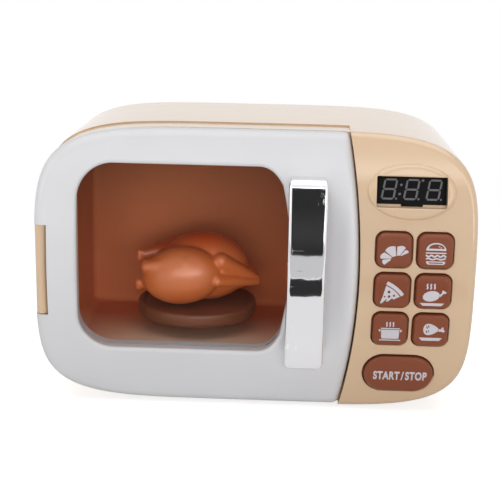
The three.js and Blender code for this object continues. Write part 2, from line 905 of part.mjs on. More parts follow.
function keyPad() {
  let shape = box(boardLeft, boardRight, padFront, boardFront - gap, boardBottom, boardTop);
  const rooted = domeHeight + padThick / 2;
  for (const button of frontButtons) {
    const dome = new THREE.CylinderGeometry(domeRadius, buttonStemRadius - gap, rooted, screwSides);
    dome.translate(button.x, padFront - domeHeight + rooted / 2, button.z);
    shape = shape.add(solid(dome));
  }
  for (const [x, z] of boardBosses) {
    shape = shape.subtract(rodY(boardBossRadius + gap, x, z, padFront - overrun, boardFront));
  }
  return shape;
}

function displayModule() {
  return displayPlaced(box(
    -displayWidth / 2, displayWidth / 2,
    displayRecess, displayRecess + displayThick,
    displayRise - displayHeight / 2, displayRise + displayHeight / 2,
  ));
}

function displayBoard() {
  const front = displayRecess + displayThick + gap;
  let shape = box(-displayBoardWidth / 2, displayBoardWidth / 2, front, front + boardThick,
    -displayBoardHeight / 2, displayBoardHeight / 2);
  for (const side of [-1, 1]) {
    shape = shape.subtract(rodY(screwShank + gap, side * displayBossReach, 0,
      front - overrun, front + boardThick + overrun));
  }
  return displayPlaced(shape);
}

// Buttons: a crowned cap, a flange that holds it behind the panel and a stem

function buttonSolid(button) {
  const steps = button.corner > buttonCorner ? 3 * arcSteps : arcSteps + 1;
  const cap = crownedBlock({
    outline: roundedPoints(button.x, button.z, button.width, button.height, button.corner, steps),
    front: (z) => bow(z) - buttonLift,
    frontRound: buttonEdgeRound,
    back: bow(button.z) + bodyWall + buttonFlange,
    backRound: 0,
    shares: [],
  });
  const reach = button.height / 2 + buttonFlange;
  const start = bodyWall + gap + reach ** 2 / (2 * frontBowRadius);
  const flange = squareTo(button.x, button.z, prism(
    roundedRectangle(0, 0, button.width + 2 * buttonFlange, 2 * reach, button.corner + buttonFlange),
    start, start + buttonFlange,
  ));
  const stem = rodY(buttonStemRadius, button.x, button.z, bow(button.z) + bodyWall, stemEnd);
  return cap.add(flange).add(stem);
}

// Door

function windowShape(grow) {
  return roundedRectangle(
    (windowLeft + windowRight) / 2, (windowBottom + windowTop) / 2,
    windowRight - windowLeft + 2 * grow, windowTop - windowBottom + 2 * grow, windowCorner + grow,
  );
}

// The window's right side swells out towards the scoop
function windowPrism(grow, front, back) {
  const top = windowTop - windowBulgeMargin;
  const bottom = windowBottom + windowBulgeMargin;
  const half = (top - bottom) / 2;
  const radius = (half ** 2 + windowBulge ** 2) / (2 * windowBulge);
  const middleX = windowRight + windowBulge - radius;
  const swing = Math.asin(half / radius);
  const swell = new THREE.Shape();
  swell.absarc(middleX, (top + bottom) / 2, radius + grow, -swing, swing);
  swell.lineTo(windowLeft / 2, top);
  swell.lineTo(windowLeft / 2, bottom);
  return prism(windowShape(grow), front, back, 2 * arcSteps).add(prism(swell, front, back, 2 * arcSteps));
}

// Hollow whose outline lies between an ellipse and a rectangle
function scoopForm(grow) {
  const geometry = new THREE.SphereGeometry(1, 2 * ballSides, ballSides);
  const round = geometry.attributes.position;
  for (let i = 0; i < round.count; i += 1) {
    const [across, up] = [Math.abs(round.getX(i)), Math.abs(round.getZ(i))];
    const reach = (across ** scoopPower + up ** scoopPower) ** (1 / scoopPower);
    const stretch = reach > 0 ? Math.hypot(across, up) / reach : 1;
    round.setX(i, round.getX(i) * stretch);
    round.setZ(i, round.getZ(i) * stretch);
  }
  geometry.scale(scoopHalfWidth + grow, scoopDepth + grow, scoopHalfHeight + grow);
  geometry.translate(scoopX, 0, scoopZ);
  for (let i = 0; i < round.count; i += 1) round.setY(i, round.getY(i) + bow(round.getZ(i)));
  return solid(geometry);
}

const doorBosses = [
  [windowLeft - doorBossRadius - doorWall, windowTop - windowCorner / 2],
  [windowLeft - doorBossRadius - doorWall, windowBottom + windowCorner / 2],
  [scoopX + scoopHalfWidth / 2, windowTop],
  [scoopX + scoopHalfWidth / 2, windowBottom - doorWall],
];

const handleScrews = [handleTop - handleLeg / 2, handleBottom + handleLeg / 2];

// Depth of the scooped door surface on the handle's middle line
function seatDepth(z) {
  const share = (z - scoopZ) / scoopHalfHeight;
  return bow(z) + (Math.abs(share) < 1 ? scoopDepth * Math.sqrt(1 - share ** 2) : 0);
}

function hingeCuts() {
  const notch = box(-bodyWidth, hingeX + knuckleRadius + gap, -overrun, doorDepth + overrun,
    knuckleBottom - gap, knuckleTop + gap);
  const bore = rodZ(hingePinRadius + gap, hingeX, hingeY, -hingePinLength / 2 - gap,
    hingePinLength / 2 + gap);
  return notch.add(bore);
}

// What stays solid inside the door: its window rim, scoop wall, screw posts and hinge blocks
function doorKeep() {
  const back = innerFrameFront - gap;
  const behindFront = box(-bodyWidth, bodyWidth, 0, bodyDepth, -bodyHeight, bodyHeight);
  let keep = windowPrism(doorWall, -overrun, paneFront - gap)
    .add(scoopForm(doorWall).intersect(behindFront));
  for (const [x, z] of doorBosses) keep = keep.add(rodY(doorBossRadius, x, z, 0, back));
  for (const z of handleScrews) {
    keep = keep.add(rodY(doorBossRadius, scoopX, z, 0, seatDepth(z) + doorWall));
  }
  for (const bottom of [knuckleTop, knuckleBottom - hingeBlockLength]) {
    keep = keep.add(box(-bodyWidth, hingeX + hingeBlockWidth, -overrun, back,
      bottom, bottom + hingeBlockLength));
  }
  return keep.add(box(-bodyWidth, hingeX + knuckleRadius + doorWall, -overrun, back,
    knuckleBottom, knuckleTop));
}

// Rounded back corner at the hinge side, which clears the frame as the door swings
function doorBackCorner() {
  const left = -halfWidth;
  const block = box(left - overrun, left + doorInset + doorBackRound, doorDepth - doorBackRound,
    doorDepth + overrun, -bodyHeight, bodyHeight);
  const rod = rodZ(doorBackRound, left + doorInset + doorBackRound, doorDepth - doorBackRound,
    -bodyHeight, bodyHeight);
  return block.subtract(rod);
}

function doorShell() {
  const side = doorSide(-seamGap / 2, -bodyDepth, bodyDepth);
  const innerSide = doorSide(-seamGap / 2 - doorWall, -bodyDepth, bodyDepth);
  const outer = doorForm(0, doorDepth).intersect(side);
  const hollow = hollowForm(doorInset + doorWall, doorWall, doorDepth).intersect(innerSide);
  let shape = outer.subtract(hollow.subtract(doorKeep()));
  shape = shape.subtract(windowPrism(0, -overrun, doorDepth + overrun)).subtract(scoopForm(0));
  shape = shape.subtract(windowPrism(paneLip + gap, paneFront - gap, doorDepth + overrun));
  shape = shape.subtract(hingeCuts()).subtract(doorBackCorner());
  for (const z of handleScrews) {
    shape = shape.subtract(rodY(screwShank + gap, scoopX, z, -overrun, doorDepth))
      .subtract(rodY(screwHead + gap, scoopX, z, seatDepth(z) + doorWall, doorDepth));
  }
  for (const [x, z] of doorBosses) {
    shape = shape.subtract(rodY(screwShank + gap, x, z,
      doorDepth - screwHeadThick - doorScrewLength - gap, doorDepth));
  }
  return shape;
}

function windowPane() {
  return windowPrism(paneLip, paneFront, paneBack);
}

function doorInnerFrame() {
  const side = doorSide(-seamGap / 2 - doorWall - gap, -bodyDepth, bodyDepth);
  const plate = prism(outlineShape(doorInset + doorWall + gap), innerFrameFront, doorDepth)
    .intersect(side);
  const sleeve = windowPrism(doorWall, paneBack + gap, doorDepth);
  const latch = rodY(latchRadius, latchX, latchZ, innerFrameFront, doorDepth + latchReach);
  let shape = plate.add(sleeve).add(latch)
    .subtract(windowPrism(0, paneBack - overrun, doorDepth + overrun));
  const notch = box(-bodyWidth, hingeX + knuckleRadius + doorWall + gap, -overrun, doorDepth + overrun,
    knuckleBottom - doorWall - gap, knuckleTop + doorWall + gap);
  shape = shape.subtract(notch);
  for (const [x, z] of doorBosses) {
    shape = shape.subtract(rodY(screwShank + gap, x, z, 0, doorDepth + overrun))
      .subtract(rodY(screwHead + gap, x, z, doorDepth - screwHeadThick - gap, doorDepth + overrun));
  }
  return shape;
}

function handleProfile() {
  const middleZ = (handleTop + handleBottom) / 2;
  const middleY = handleBowRadius - handleReach;
  const bowY = (z, radius) => middleY - Math.sqrt(radius ** 2 - (z - middleZ) ** 2);
  const inner = handleBowRadius - handleThick;
  const foot = doorDepth;
  const shape = new THREE.Shape();
  const steps = 4 * arcSteps;
  shape.moveTo(foot, handleTop);
  const curve = (top, bottom, radius) => {
    for (let i = 0; i <= steps; i += 1) {
      const z = top + ((bottom - top) * i) / steps;
      shape.lineTo(bowY(z, radius), z);
    }
  };
  const highZ = handleTop - handleCorner;
  const lowZ = handleBottom + handleCorner;
  shape.lineTo(bowY(highZ, handleBowRadius) + handleCorner, handleTop);
  shape.quadraticCurveTo(bowY(highZ, handleBowRadius), handleTop, bowY(highZ, handleBowRadius), highZ);
  curve(highZ, lowZ, handleBowRadius);
  shape.quadraticCurveTo(bowY(lowZ, handleBowRadius), handleBottom,
    bowY(lowZ, handleBowRadius) + handleCorner, handleBottom);
  shape.lineTo(foot, handleBottom);
  const innerLow = handleBottom + handleLeg;
  const innerHigh = handleTop - handleLeg;
  shape.lineTo(foot, innerLow);
  shape.lineTo(bowY(innerLow + handleInnerCorner, inner) + handleInnerCorner, innerLow);
  curve(innerLow + handleInnerCorner, innerHigh - handleInnerCorner, inner);
  shape.lineTo(bowY(innerHigh - handleInnerCorner, inner) + handleInnerCorner, innerHigh);
  shape.lineTo(foot, innerHigh);
  return shape;
}

// The profile is drawn in y and z and runs across in x, with a bevel along both edges
function handleSolid() {
  const geometry = new THREE.ExtrudeGeometry(handleProfile(), {
    depth: handleWidth - 2 * handleBevel,
    bevelEnabled: true,
    bevelThickness: handleBevel,
    bevelSize: handleBevel,
    bevelOffset: -handleBevel,
    bevelSegments: 1,
    curveSegments: arcSteps + 1,
  });
  geometry.applyMatrix4(yzToWorld());
  geometry.translate(scoopX - (handleWidth - 2 * handleBevel) / 2, 0, 0);
  const seat = doorForm(-gap, 2 * doorDepth).subtract(scoopForm(-gap));
  const behind = box(-bodyWidth, bodyWidth, doorDepth - overrun, bodyDepth, -bodyHeight, bodyHeight);
  let shape = solid(geometry).subtract(seat).subtract(behind);
  for (const z of handleScrews) {
    const head = seatDepth(z) + doorWall + gap;
    shape = shape.subtract(rodY(screwShank + gap, scoopX, z, head - screwLength - gap, bodyDepth));
  }
  return shape;
}

// Cooking space: an open-fronted tray of the liner with a flange against the frame

function linerForm(grow, front, back) {
  return prism(roundedRectangle(
    (cavityLeft + cavityRight) / 2, (cavityFloor + cavityTop) / 2,
    cavityRight - cavityLeft + 2 * grow, cavityTop - cavityFloor + 2 * grow, cavityCorner + grow,
  ), front, back);
}

function motorBossPlaces() {
  return [-1, 1].map((side) => [plateX + side * (motorWidth / 2 + motorEar / 2), plateY]);
}

function cavityLiner() {
  let shape = linerForm(linerWall, linerFront, cavityBack + linerWall)
    .add(linerForm(linerFlange, linerFront, linerFront + linerWall));
  shape = shape.subtract(linerForm(0, linerFront - overrun, cavityBack));
  const middle = cavityFloor - linerWall / 2;
  for (const [x, y] of motorBossPlaces()) {
    shape = shape.add(rodZ(motorEar / 2 - gap, x, y, linerUnder - motorDrop, middle))
      .subtract(rodZ(screwShank + gap, x, y, linerUnder - 2 * motorDrop, middle));
  }
  return shape.subtract(rodZ(hubStemRadius + gap, plateX, plateY, cavityFloor - motorHeight,
    cavityFloor + overrun, 2 * rodSides));
}

const motorTop = linerUnder - motorDrop - gap;

function turntableMotor() {
  const bottom = motorTop - motorHeight;
  let shape = prism(roundedRectangle(plateX, motorTop - motorHeight / 2, motorWidth, motorHeight,
    motorCanRadius / 3), plateY - motorLength / 2, plateY + motorLength / 2);
  shape = shape.add(rodY(motorCanRadius, plateX, bottom + motorHeight / 2,
    plateY + motorLength / 2 - overrun, plateY + motorLength / 2 + motorCanLength));
  for (const [x, y] of motorBossPlaces()) {
    shape = shape.add(box(Math.min(x, plateX), Math.max(x, plateX), y - motorEar / 2, y + motorEar / 2,
      motorTop - motorEarThick, motorTop));
    shape = shape.add(rodZ(motorEar / 2, x, y, motorTop - motorEarThick, motorTop));
    shape = shape.subtract(rodZ(screwShank + gap, x, y, bottom, motorTop + overrun));
  }
  return shape.subtract(rodZ(hubTipRadius + gap, plateX, plateY, motorTop - motorHeight / 2,
    motorTop + overrun));
}

function motorScrew([x, y]) {
  const head = motorTop - motorEarThick - gap - screwHeadThick;
  const shank = head + screwHeadThick;
  const tip = shank + motorEarThick + motorDrop;
  return turned([
    [0, head], [screwHead, head], [screwHead, shank], [screwShank, shank], [screwShank, tip], [0, tip],
  ], x, y, screwSides);
}

// Turntable: the dished plate and the hub that turns it

function turntablePlate() {
  const bottom = plateTop - plateThick;
  const soft = plateEdgeRound * (1 - Math.SQRT1_2);
  return turned([
    [0, bottom + hubPegHeight + gap], [hubPegRadius + gap, bottom + hubPegHeight + gap],
    [hubPegRadius + gap, bottom], [plateRadius - 2 * plateEdgeRound, bottom],
    [plateRadius, bottom + plateEdgeRound],
    [plateRadius, plateTop - plateEdgeRound],
    [plateRadius - soft, plateTop - soft],
    [plateRadius - plateEdgeRound, plateTop],
    [plateRadius - plateRim, plateTop],
    [plateRadius - plateRim - plateDish, plateTop - plateDish],
    [0, plateTop - plateDish],
  ], plateX, plateY, 3 * rodSides);
}

function driveHub() {
  const top = plateTop - plateThick - gap;
  const collar = cavityFloor + hubRise;
  const stemEndZ = motorTop + gap;
  return turned([
    [0, motorTop - motorHeight / 2 + gap], [hubTipRadius, motorTop - motorHeight / 2 + gap],
    [hubTipRadius, stemEndZ], [hubStemRadius, stemEndZ],
    [hubStemRadius, collar], [hubRadius, collar],
    [hubRadius, top], [hubPegRadius, top],
    [hubPegRadius, top + hubPegHeight], [0, top + hubPegHeight],
  ], plateX, plateY, 2 * rodSides);
}

// Roast chicken: swelling body, two drumsticks with knuckle ends, wings and tail

function ball(places, sizes, turnY = 0, turnZ = 0) {
  const geometry = new THREE.SphereGeometry(1, ballSides, ballSides / 2);
  geometry.scale(...sizes);
  geometry.rotateY(turnY);
  geometry.rotateZ(turnZ);
  geometry.translate(...places);
  return solid(geometry);
}

function roastChicken() {
  const seat = plateTop - plateDish + gap;
  const place = (along, across, up) => [
    plateX + along * birdLength, plateY + across * birdWidth, seat + up * birdHeight,
  ];
  const span = (along, across, up) => [along * birdLength, across * birdWidth, up * birdHeight];
  const bodyShares = [
    { at: [0.06, 0, 0.46], by: [0.37, 0.48, 0.56], turn: 0.08 },
    { at: [0.315, 0, 0.42], by: [0.17, 0.3, 0.32], turn: 0.5 },
  ];
  const sideShares = [
    { at: [-0.12, 0.33, 0.4], by: [0.24, 0.2, 0.33], turn: 0 },
    { at: [-0.3, 0.22, 0.52], by: [0.14, 0.1, 0.15], turn: 0.2 },
    { at: [-0.41, 0.15, 0.56], by: [0.06, 0.1, 0.1], turn: 0 },
    { at: [0.24, 0.35, 0.36], by: [0.16, 0.09, 0.15], turn: 0.25 },
    { at: [0.35, 0.12, 0.27], by: [0.12, 0.13, 0.09], turn: 0.1 },
  ];
  let shape = null;
  const join = (part) => {
    shape = shape ? shape.add(part) : part;
  };
  for (const { at, by, turn } of bodyShares) join(ball(place(...at), span(...by), turn));
  for (const side of [-1, 1]) {
    for (const { at: [along, across, up], by, turn } of sideShares) {
      join(ball(place(along, side * across, up), span(...by), turn));
    }
  }
  const flat = box(-bodyWidth, bodyWidth, -bodyDepth, bodyDepth, -bodyHeight, seat);
  return shape.subtract(flat);
}

// Feet

function footSolid(side, y) {
  const x = side * footX;
  const floor = -halfHeight - footReach;
  const surface = -halfHeight * (1 - (footX / halfWidth) ** outlinePower) ** (1 / outlinePower);
  const sunk = y < frameDepth ? bandStep : 0;
  return rodZ(footRadius, x, y, floor, -halfHeight - gap)
    .add(rodZ(footPegRadius, x, y, floor + footReach / 2, surface + sunk + footPegReach));
}

// Assembly

const oven = new THREE.Group();
oven.position.set(0, (handleReach - bodyDepth) / 2, halfHeight + footReach);

oven.add(
  piece('front_frame', frontFrame(), peach),
  piece('rear_housing', rearHousing(), peach),
  piece('cavity_liner', cavityLiner(), cocoa),
  piece('battery_cover', batteryCover(), peach),
  piece('cover_screw', screwSolid(cellMiddleX, coverScrewZ, backFace - coverThick, screwLength), steel),
  piece('speaker', speakerSolid(), black),
  piece('key_board', keyBoard(), boardGreen),
  piece('button_pad', keyPad(), rubber),
  piece('display_module', displayModule(), black),
  piece('display_board', displayBoard(), boardGreen),
  piece('turntable_motor', turntableMotor(), black),
  piece('battery_contacts_top', contactSolid(1), steel),
  piece('battery_contacts_bottom', contactSolid(-1), steel),
  piece('hinge_pin', rodZ(hingePinRadius, hingeX, hingeY, -hingePinLength / 2, hingePinLength / 2), steel),
);

for (let index = 0; index < cellCount; index += 1) {
  oven.add(piece(`battery_${index + 1}`, cellSolid(index), cellSleeve));
}
housingBosses.forEach(([x, z], index) => {
  oven.add(piece(`housing_screw_${index + 1}`,
    screwSolid(x, z, bossJoint + housingWellFloor + gap, housingWellFloor + screwLength), steel));
});
boardBosses.forEach(([x, z], index) => {
  oven.add(piece(`board_screw_${index + 1}`, screwSolid(x, z, boardBack + gap, screwLength), steel));
});
motorBossPlaces().forEach((place, index) => {
  oven.add(piece(`motor_screw_${index + 1}`, motorScrew(place), steel));
});
for (const [index, side] of [-1, 1].entries()) {
  const head = displayRecess + displayThick + 2 * gap + boardThick;
  const screw = screwSolid(side * displayBossReach, 0, head, displayThick);
  oven.add(piece(`display_screw_${index + 1}`, displayPlaced(screw), steel));
  oven.add(piece(`foot_front_${index + 1}`, footSolid(side, footFrontY), rubber));
  oven.add(piece(`foot_back_${index + 1}`, footSolid(side, footBackY), rubber));
}

const door = new THREE.Group();
door.add(
  piece('door_shell', doorShell(), white),
  piece('door_inner_frame', doorInnerFrame(), white),
  piece('window_pane', windowPane(), clear),
  piece('handle', handleSolid(), chrome),
);
handleScrews.forEach((z, index) => {
  door.add(piece(`handle_screw_${index + 1}`,
    screwSolid(scoopX, z, seatDepth(z) + doorWall + gap, screwLength), steel));
});
doorBosses.forEach(([x, z], index) => {
  door.add(piece(`door_screw_${index + 1}`,
    screwSolid(x, z, doorDepth - screwHeadThick, doorScrewLength), steel));
});
oven.add(door);

const turntable = new THREE.Group();
turntable.add(
  piece('turntable_plate', turntablePlate(), darkCocoa),
  piece('drive_hub', driveHub(), darkCocoa),
);
oven.add(turntable, piece('roast_chicken', roastChicken(), roast));

for (const button of frontButtons) oven.add(piece(button.name, buttonSolid(button), cocoa));

const toyMicrowave = new THREE.Group();
toyMicrowave.add(oven);

export default toyMicrowave;
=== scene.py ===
# Toy microwave oven: the moulded shells, chromed handle, printed buttons, digits and play food,
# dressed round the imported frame. Sizes are in millimetres, in the oven's own places: y = 0 is
# the front surface at half height and z = 0 is half height. Blender's objects are in metres.
import json
import math

import bmesh
import bpy
import numpy as np
from mathutils import Matrix, Vector

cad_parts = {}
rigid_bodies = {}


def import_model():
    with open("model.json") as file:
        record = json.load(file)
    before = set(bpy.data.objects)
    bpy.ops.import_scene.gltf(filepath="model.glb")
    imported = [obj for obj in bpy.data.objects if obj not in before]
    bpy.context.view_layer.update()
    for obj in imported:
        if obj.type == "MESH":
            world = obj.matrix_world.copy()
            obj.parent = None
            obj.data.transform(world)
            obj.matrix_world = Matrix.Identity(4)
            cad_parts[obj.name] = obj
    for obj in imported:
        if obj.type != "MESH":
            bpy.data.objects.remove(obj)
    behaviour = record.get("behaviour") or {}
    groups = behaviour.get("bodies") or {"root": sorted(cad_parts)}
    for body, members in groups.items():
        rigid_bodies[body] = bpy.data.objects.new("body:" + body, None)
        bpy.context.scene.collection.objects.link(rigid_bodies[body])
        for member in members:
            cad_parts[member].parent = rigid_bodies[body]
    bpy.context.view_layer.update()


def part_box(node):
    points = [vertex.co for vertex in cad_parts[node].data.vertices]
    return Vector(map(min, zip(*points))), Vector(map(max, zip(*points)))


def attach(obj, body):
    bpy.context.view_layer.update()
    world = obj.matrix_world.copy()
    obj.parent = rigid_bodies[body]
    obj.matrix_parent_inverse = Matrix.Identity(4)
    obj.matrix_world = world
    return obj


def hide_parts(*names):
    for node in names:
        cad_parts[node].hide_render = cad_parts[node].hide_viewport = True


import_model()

for name in ("Cube", "Light", "Camera"):
    if name in bpy.data.objects:
        bpy.data.objects.remove(bpy.data.objects[name])
bpy.ops.object.select_all(action="DESELECT")

mm = 0.001
gap = 0.3  # between pieces that meet
over = 2  # how far a cut runs past what it cuts

body = {
    "width": 250, "height": 163.5, "depth": 132, "bowRadius": 238, "wall": 2.2,
    "backRound": 8, "panelRound": 3, "frameDepth": 39, "bandStep": 0.8, "power": 5,
    "loopPoints": 288, "roundSteps": 6, "faceSteps": 14,
}
seam = {"x": 60, "peak": 2, "radius": 412, "gap": 0.8, "closer": 0.25, "reach": 40, "bandReach": 9,
        "points": 1024}
door = {
    "depth": 20, "inset": 0.5, "wall": 2.2, "edgeRound": 5, "backRound": 1.2, "cornerBlend": 4,
    "faceSteps": 18, "seatGap": 0.5, "innerThick": 3.2,
}
window = {
    "left": -99.9, "right": 15, "bottom": -46, "top": 61.4, "corner": 20, "rightCorner": 13,
    "bulge": 6, "bulgeMargin": 11, "blend": 8, "rimRound": 2.4, "paneFront": 12, "paneThick": 1.5,
    "draft": 1, "backDraft": 2, "backRim": 0.3, "backLedge": 0.8,
}
scoop = {"x": 30, "z": 5, "halfWidth": 24.5, "halfHeight": 51, "depth": 9, "power": 3, "soft": 7}

windowWide, windowHigh = window["right"] - window["left"], window["top"] - window["bottom"]
windowMiddle = ((window["left"] + window["right"]) / 2, (window["bottom"] + window["top"]) / 2)
housingLow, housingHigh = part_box("rear_housing")
frontY = housingHigh.y / mm - body["depth"]
middleZ = (housingHigh.z + housingLow.z) / 2 / mm


def row(x, y, z):  # a place in the oven, in Blender's metres
    return Vector((x * mm, (y + frontY) * mm, (z + middleZ) * mm))


def bow(z):  # how far the bowed front has fallen back at a height
    return body["bowRadius"] - np.sqrt(body["bowRadius"] ** 2 - np.asarray(z, float) ** 2)


def bodySurface(x, z):
    return bow(z)


def doorSurface(x, z):  # the bowed front with the finger scoop sunk into it
    across = np.abs(x - scoop["x"]) / scoop["halfWidth"]
    up = np.abs(z - scoop["z"]) / scoop["halfHeight"]
    inside = 1 - (across ** scoop["power"] + up ** scoop["power"]) ** (2 / scoop["power"])
    soft = scoop["soft"]
    return bow(z) + scoop["depth"] * np.log1p(np.exp(soft * inside)) / np.log1p(math.exp(soft))


# Outlines: each is a level that turns positive outside the shape


def bodyLevel(x, z, inset=0.0):
    power = body["power"]
    share = (np.abs(x) / (body["width"] / 2 - inset)) ** power
    share = (share + (np.abs(z) / (body["height"] / 2 - inset)) ** power) ** (1 / power)
    return (share - 1) * np.hypot(x, z)


def doorLevel(x, z, inset=0.0):
    edge = bodyLevel(x, z, door["inset"] + inset)
    reach = seam["radius"] - seam["gap"] / 2 - inset
    side = np.hypot(x - seam["x"] + seam["radius"], z - seam["peak"]) - reach
    blend = door["cornerBlend"]
    near = np.maximum(blend - np.abs(edge - side), 0) / blend
    return np.maximum(edge, side) + near ** 2 * blend / 4


def roundLevel(x, z, middle, width, height, corner):  # distance outside a rounded rectangle
    across = np.abs(x - middle[0]) - width / 2 + corner
    up = np.abs(z - middle[1]) - height / 2 + corner
    corners = np.hypot(np.maximum(across, 0), np.maximum(up, 0))
    return corners + np.minimum(np.maximum(across, up), 0) - corner


def windowLevel(x, z, inset=0.0):  # a rounded rectangle whose right side swells
    middleX, middle = windowMiddle
    corner = np.where(x > middleX, window["rightCorner"], window["corner"])
    plain = roundLevel(x, z, windowMiddle, windowWide, windowHigh, corner)
    half = windowHigh / 2 - window["bulgeMargin"]
    radius = (half ** 2 + window["bulge"] ** 2) / (2 * window["bulge"])
    swell = np.hypot(x - window["right"] - window["bulge"] + radius, z - middle) - radius
    swell = np.maximum(swell, np.maximum(np.abs(z - middle) - half, middleX - x))
    blend = window["blend"]
    near = np.maximum(blend - np.abs(plain - swell), 0) / blend
    return np.minimum(plain, swell) - near ** 2 * blend / 8 + inset


def drafted(flat, draft):  # a window loop drawn out towards the hinge side
    share = np.clip((windowMiddle[0] - flat[:, 0]) / (windowWide / 2), 0, 1)
    return flat - np.stack([draft * share, 0 * share], 1)


def castLoop(level, angles, centre, inset=0.0):  # where the rays from a centre leave a shape
    near, far = np.zeros(len(angles)), np.full(len(angles), float(body["width"]))
    for _ in range(40):
        middle = (near + far) / 2
        places = (centre[0] + middle * np.cos(angles), centre[1] + middle * np.sin(angles))
        outside = level(*places, inset) > 0
        near, far = np.where(outside, near, middle), np.where(outside, middle, far)
    return np.stack([centre[0] + near * np.cos(angles), centre[1] + near * np.sin(angles)], 1)


def evenAngles(levels, centre, count):  # rays that share out the outlines' length and turns
    fine = np.linspace(0, 2 * math.pi, 20 * count, endpoint=False)
    total = np.zeros(len(fine))
    for level in levels:
        loop = castLoop(level, fine, centre)
        step = np.roll(loop, -1, 0) - loop
        length = np.hypot(*step.T)
        heading = np.arctan2(step[:, 1], step[:, 0])
        turn = np.abs((heading - np.roll(heading, 1) + math.pi) % (2 * math.pi) - math.pi)
        total += length / length.sum() + turn / turn.sum()
    measure = np.concatenate([[0], np.cumsum(total)])
    wanted = np.arange(count) / count * measure[-1]
    return np.interp(wanted, measure, np.append(fine, 2 * math.pi))


def loopMakers(levels, centre):  # for each outline, a function that gives its loop at an inset
    angles = evenAngles(levels, centre, body["loopPoints"])
    return [lambda inset=0.0, level=level: castLoop(level, angles, centre, inset) for level in levels]


bodyLoop, = loopMakers([bodyLevel], (0, 0))


def quarter(radius, steps, fromX, fromZ, start):  # points of a quarter round about a middle
    turns = [start + math.pi / 2 * k / steps for k in range(steps + 1)]
    return [(fromX + radius * math.cos(t), fromZ + radius * math.sin(t)) for t in turns]


def roundedLoop(x, z, width, height, corner, steps=8):
    points = []
    for i, (sideX, side) in enumerate([(1, 1), (-1, 1), (-1, -1), (1, -1)]):
        points += quarter(corner, steps, x + sideX * (width / 2 - corner),
                          z + side * (height / 2 - corner), i * math.pi / 2)
    return np.array(points)


def rounding(radius, steps):  # pairs of inset and sink round a quarter, from the side to the face
    turns = [math.pi / 2 * k / steps for k in range(steps + 1)]
    return [(radius * (1 - math.cos(t)), radius * (1 - math.sin(t))) for t in turns]


# Modelling steps


def pick(obj, *others):
    bpy.ops.object.select_all(action="DESELECT")
    for each in (obj, *others):
        each.select_set(True)
    bpy.context.view_layer.objects.active = obj


def named(obj, name):
    obj.name = name
    return obj


def merged(objects, name):
    pick(*objects)
    bpy.ops.object.join()
    return named(objects[0], name)


def settle(obj):  # the object stays at the origin and its place goes into the mesh
    pick(obj)
    bpy.ops.object.transform_apply(location=True, rotation=True, scale=True)
    return obj


def addBox(left, right, front, back, bottom, top):
    middle = row((left + right) / 2, (front + back) / 2, (bottom + top) / 2)
    bpy.ops.mesh.primitive_cube_add(size=1, location=middle)
    obj = bpy.context.active_object
    obj.scale = ((right - left) * mm, (back - front) * mm, (top - bottom) * mm)
    return settle(obj)


def addRod(radius, x, z, front, back, points=48):  # a round bar from front to back
    bpy.ops.mesh.primitive_cylinder_add(
        vertices=points, radius=radius * mm, depth=(back - front) * mm,
        location=row(x, (front + back) / 2, z), rotation=(math.pi / 2, 0, 0))
    return settle(bpy.context.active_object)


def addPost(radius, x, y, bottom, top, points=48):  # a round bar standing up
    bpy.ops.mesh.primitive_cylinder_add(
        vertices=points, radius=radius * mm, depth=(top - bottom) * mm,
        location=row(x, y, (bottom + top) / 2))
    return settle(bpy.context.active_object)


def applied(obj, kind, **settings):  # a modifier, set and then applied
    modifier = obj.modifiers.new("step", kind)
    for key, value in settings.items():
        setattr(modifier, key, value)
    pick(obj)
    bpy.ops.object.modifier_apply(modifier=modifier.name)
    return obj


def combine(obj, other, how="DIFFERENCE"):
    applied(obj, "BOOLEAN", operation=how, object=other, solver="MANIFOLD")
    bpy.data.objects.remove(other)
    return obj


def soften(obj, width):  # rounds the sharp edges
    return applied(obj, "BEVEL", width=width * mm, segments=3, angle_limit=math.radians(40))


def smooth(obj, angle=35):
    pick(obj)
    bpy.ops.object.shade_smooth_by_angle(angle=math.radians(angle))
    return obj


def finishShade(obj, angle=35):  # smooth, with the large faces setting the normals
    return applied(smooth(obj, angle), "WEIGHTED_NORMAL", keep_sharp=True)


def editing(obj):
    pick(obj)
    bpy.ops.object.mode_set(mode="EDIT")
    bpy.ops.mesh.select_mode(type="VERT")
    bpy.ops.mesh.select_all(action="SELECT")


def modelled():
    bpy.ops.object.mode_set(mode="OBJECT")


def turnOut(obj, threshold=0.000001):  # merges the doubles and turns the faces outwards
    editing(obj)
    bpy.ops.mesh.remove_doubles(threshold=threshold)
    bpy.ops.mesh.normals_make_consistent(inside=False)
    modelled()
    return obj


def loopAt(flat, depth):  # a flat loop of x and z, set at a depth for each point
    depth = np.broadcast_to(depth, len(flat))
    return [row(x, y, z) for (x, z), y in zip(flat.tolist(), depth.tolist())]


def loopOn(surface, flat, sink=0.0):  # a flat loop laid on a surface
    return loopAt(flat, surface(*flat.T) + sink)


